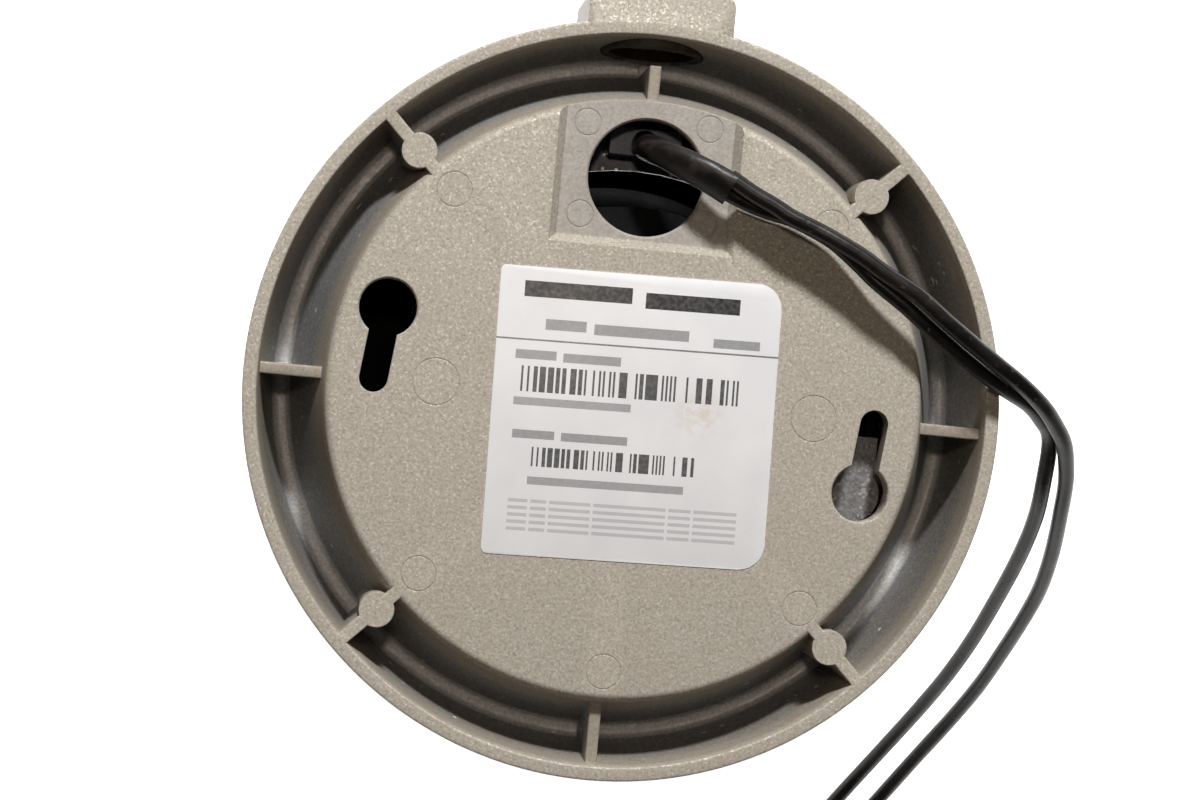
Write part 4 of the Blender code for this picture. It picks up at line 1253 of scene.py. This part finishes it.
def knurled_ring(name, top, bottom, body, node):
    """A turning ring on the lens, with straight knurling between two plain edges."""

    def knurl(angle, radius, height):
        gripped = radius > 14 and bottom + 0.8 < height < top - 0.8
        return radius - (0.3 * (0.5 + 0.5 * math.cos(angle * 48)) if gripped else 0.0)

    ring = lathe(
        name,
        [
            (LENS_RING_BORE, top, 0.1),
            (LENS_RING_RADIUS, top, 0.2),
            (LENS_RING_RADIUS, top - 0.75, 0),
            (LENS_RING_RADIUS, top - 0.85, 0),
            (LENS_RING_RADIUS, bottom + 0.85, 0),
            (LENS_RING_RADIUS, bottom + 0.75, 0),
            (LENS_RING_RADIUS, bottom, 0.2),
            (LENS_RING_BORE, bottom, 0.1),
        ],
        steps=288,
        ripple=knurl,
    )
    return finish(ring, "moulded_black", body, "black_plastic", node)


def lock_screw(name, angle, z, body, node):
    """A small thumbscrew with a knurled head that locks a lens ring."""

    def knurl(turn, radius, height):
        return radius - (0.12 * (0.5 + 0.5 * math.cos(turn * 18)) if radius > 2 else 0.0)

    knob = lathe(
        name,
        [(0.0, 7.0, 0), (2.2, 7.0, 0.35), (2.2, 2.0, 0.25), (1.2, 2.0, 0.1), (1.2, 0.0, 0), (0.0, 0.0, 0)],
        closed=False,
        steps=108,
        ripple=knurl,
    )
    outwards = Matrix.Rotation(math.radians(angle), 4, "Z") @ Matrix.Rotation(math.radians(90), 4, "Y")
    move(knob, Matrix.Translation(polar(LENS_RING_RADIUS + 0.3, angle, z) * MM) @ outwards)
    return finish(knob, "stainless", body, "stainless", node)


# CAD nodes that are shown as they are: for each material, how the names of its nodes start

CARRIED = {
    "rubber": ("plug_seal_ring", "cover_o_ring", "bubble_gasket"),
    "zinc": ("bubble_clamp_ring", "pan_retainer_ring"),
    "stainless": ("clamp_screw", "bracket_screw", "board_screw", "tilt_screw"),
    "bracket_steel": ("pan_bracket",),
    "circuit_board": ("connection_board", "sensor_board", "processor_board"),
    "header_blue_sheen": ("loom_header",),
    "header_white": ("harness_header",),
    "nickel": ("capacitor", "board_standoff"),
    "moulded_black": ("button_housing", "tilt_carriage", "camera_cradle", "lens_mount", "iris_motor_cover"),
    "plug_nylon": ("osd_button",),
    "dull_black": ("pan_turntable",),
    "silicon": ("image_sensor",),
    "lead_pvc": ("gimbal_harness",),
}


def paint_carried():
    for material, starts in CARRIED.items():
        for name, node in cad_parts.items():
            if name.startswith(starts) and not node.hide_render:
                node.data.materials.clear()
                node.data.materials.append(MATERIALS[material])


# Stage


def floor_material():
    m = Nodes("floor", (0.92, 0.92, 0.92), 0.9)
    m.colour(m.mix(m.noise(12, 2), (0.9, 0.9, 0.9), (0.94, 0.94, 0.94)))
    m.shader.inputs["Emission Color"].default_value = (1.0, 1.0, 1.0, 1.0)
    m.shader.inputs["Emission Strength"].default_value = 1.0
    return m.material


def add_floor():
    bm = bmesh.new()
    bmesh.ops.create_grid(bm, x_segments=1, y_segments=1, size=3.0)
    floor = from_bmesh("floor", bm)
    floor.location.z = cad_low.z - 0.5 * MM
    floor.data.materials.append(floor_material())


def aim(thing, place, target):
    thing.location = place
    thing.rotation_euler = (Vector(target) - Vector(place)).to_track_quat("-Z", "Y").to_euler()


def add_lamp(name, place, size, power, colour):
    data = bpy.data.lights.new(name, "AREA")
    data.shape = "DISK"
    data.size = size
    data.energy = power
    data.color = colour
    aim(add_object(name, data), place, (0.0, 0.0, 0.0))


def add_light():
    add_lamp("window", place=(0.06, 1.24, 1.04), size=0.2, power=32.0, colour=(1.0, 0.985, 0.96))
    add_lamp("flash", place=(-0.05, 0.09, 0.46), size=0.03, power=0.25, colour=(1.0, 0.84, 0.68))
    world = bpy.data.worlds.new("studio")
    bpy.context.scene.world = world
    world.use_nodes = True
    background = world.node_tree.nodes["Background"]
    background.inputs["Color"].default_value = (1.0, 0.84, 0.68, 1.0)
    background.inputs["Strength"].default_value = 0.06
    backdrop = world.node_tree.nodes.new("ShaderNodeBackground")
    backdrop.inputs["Strength"].default_value = 0.95
    seen = world.node_tree.nodes.new("ShaderNodeLightPath")
    choose = world.node_tree.nodes.new("ShaderNodeMixShader")
    links = world.node_tree.links
    links.new(seen.outputs["Is Camera Ray"], choose.inputs["Fac"])
    links.new(background.outputs[0], choose.inputs[1])
    links.new(backdrop.outputs[0], choose.inputs[2])
    links.new(choose.outputs[0], world.node_tree.nodes["World Output"].inputs["Surface"])
    bpy.context.scene.view_settings.view_transform = "Standard"


def build():
    add_camera()
    add_cords()
    housing_casting()
    label_sheet()
    conduit_plug()
    cover_shell()
    cover_screws()
    clear_dome()
    liner_dome()
    lens_tube()
    front_glass()
    knurled_ring("zoom_grip", -58.5, -64.5, "zoom_control", "zoom_ring")
    knurled_ring("focus_grip", -73.0, -78.5, "focus_control", "focus_ring")
    lock_screw("zoom_thumbscrew", 0, -61.5, "zoom_control", "zoom_lock_screw")
    lock_screw("focus_thumbscrew", 180, -75.75, "focus_control", "focus_lock_screw")
    paint_carried()
    add_floor()
    add_light()


build()
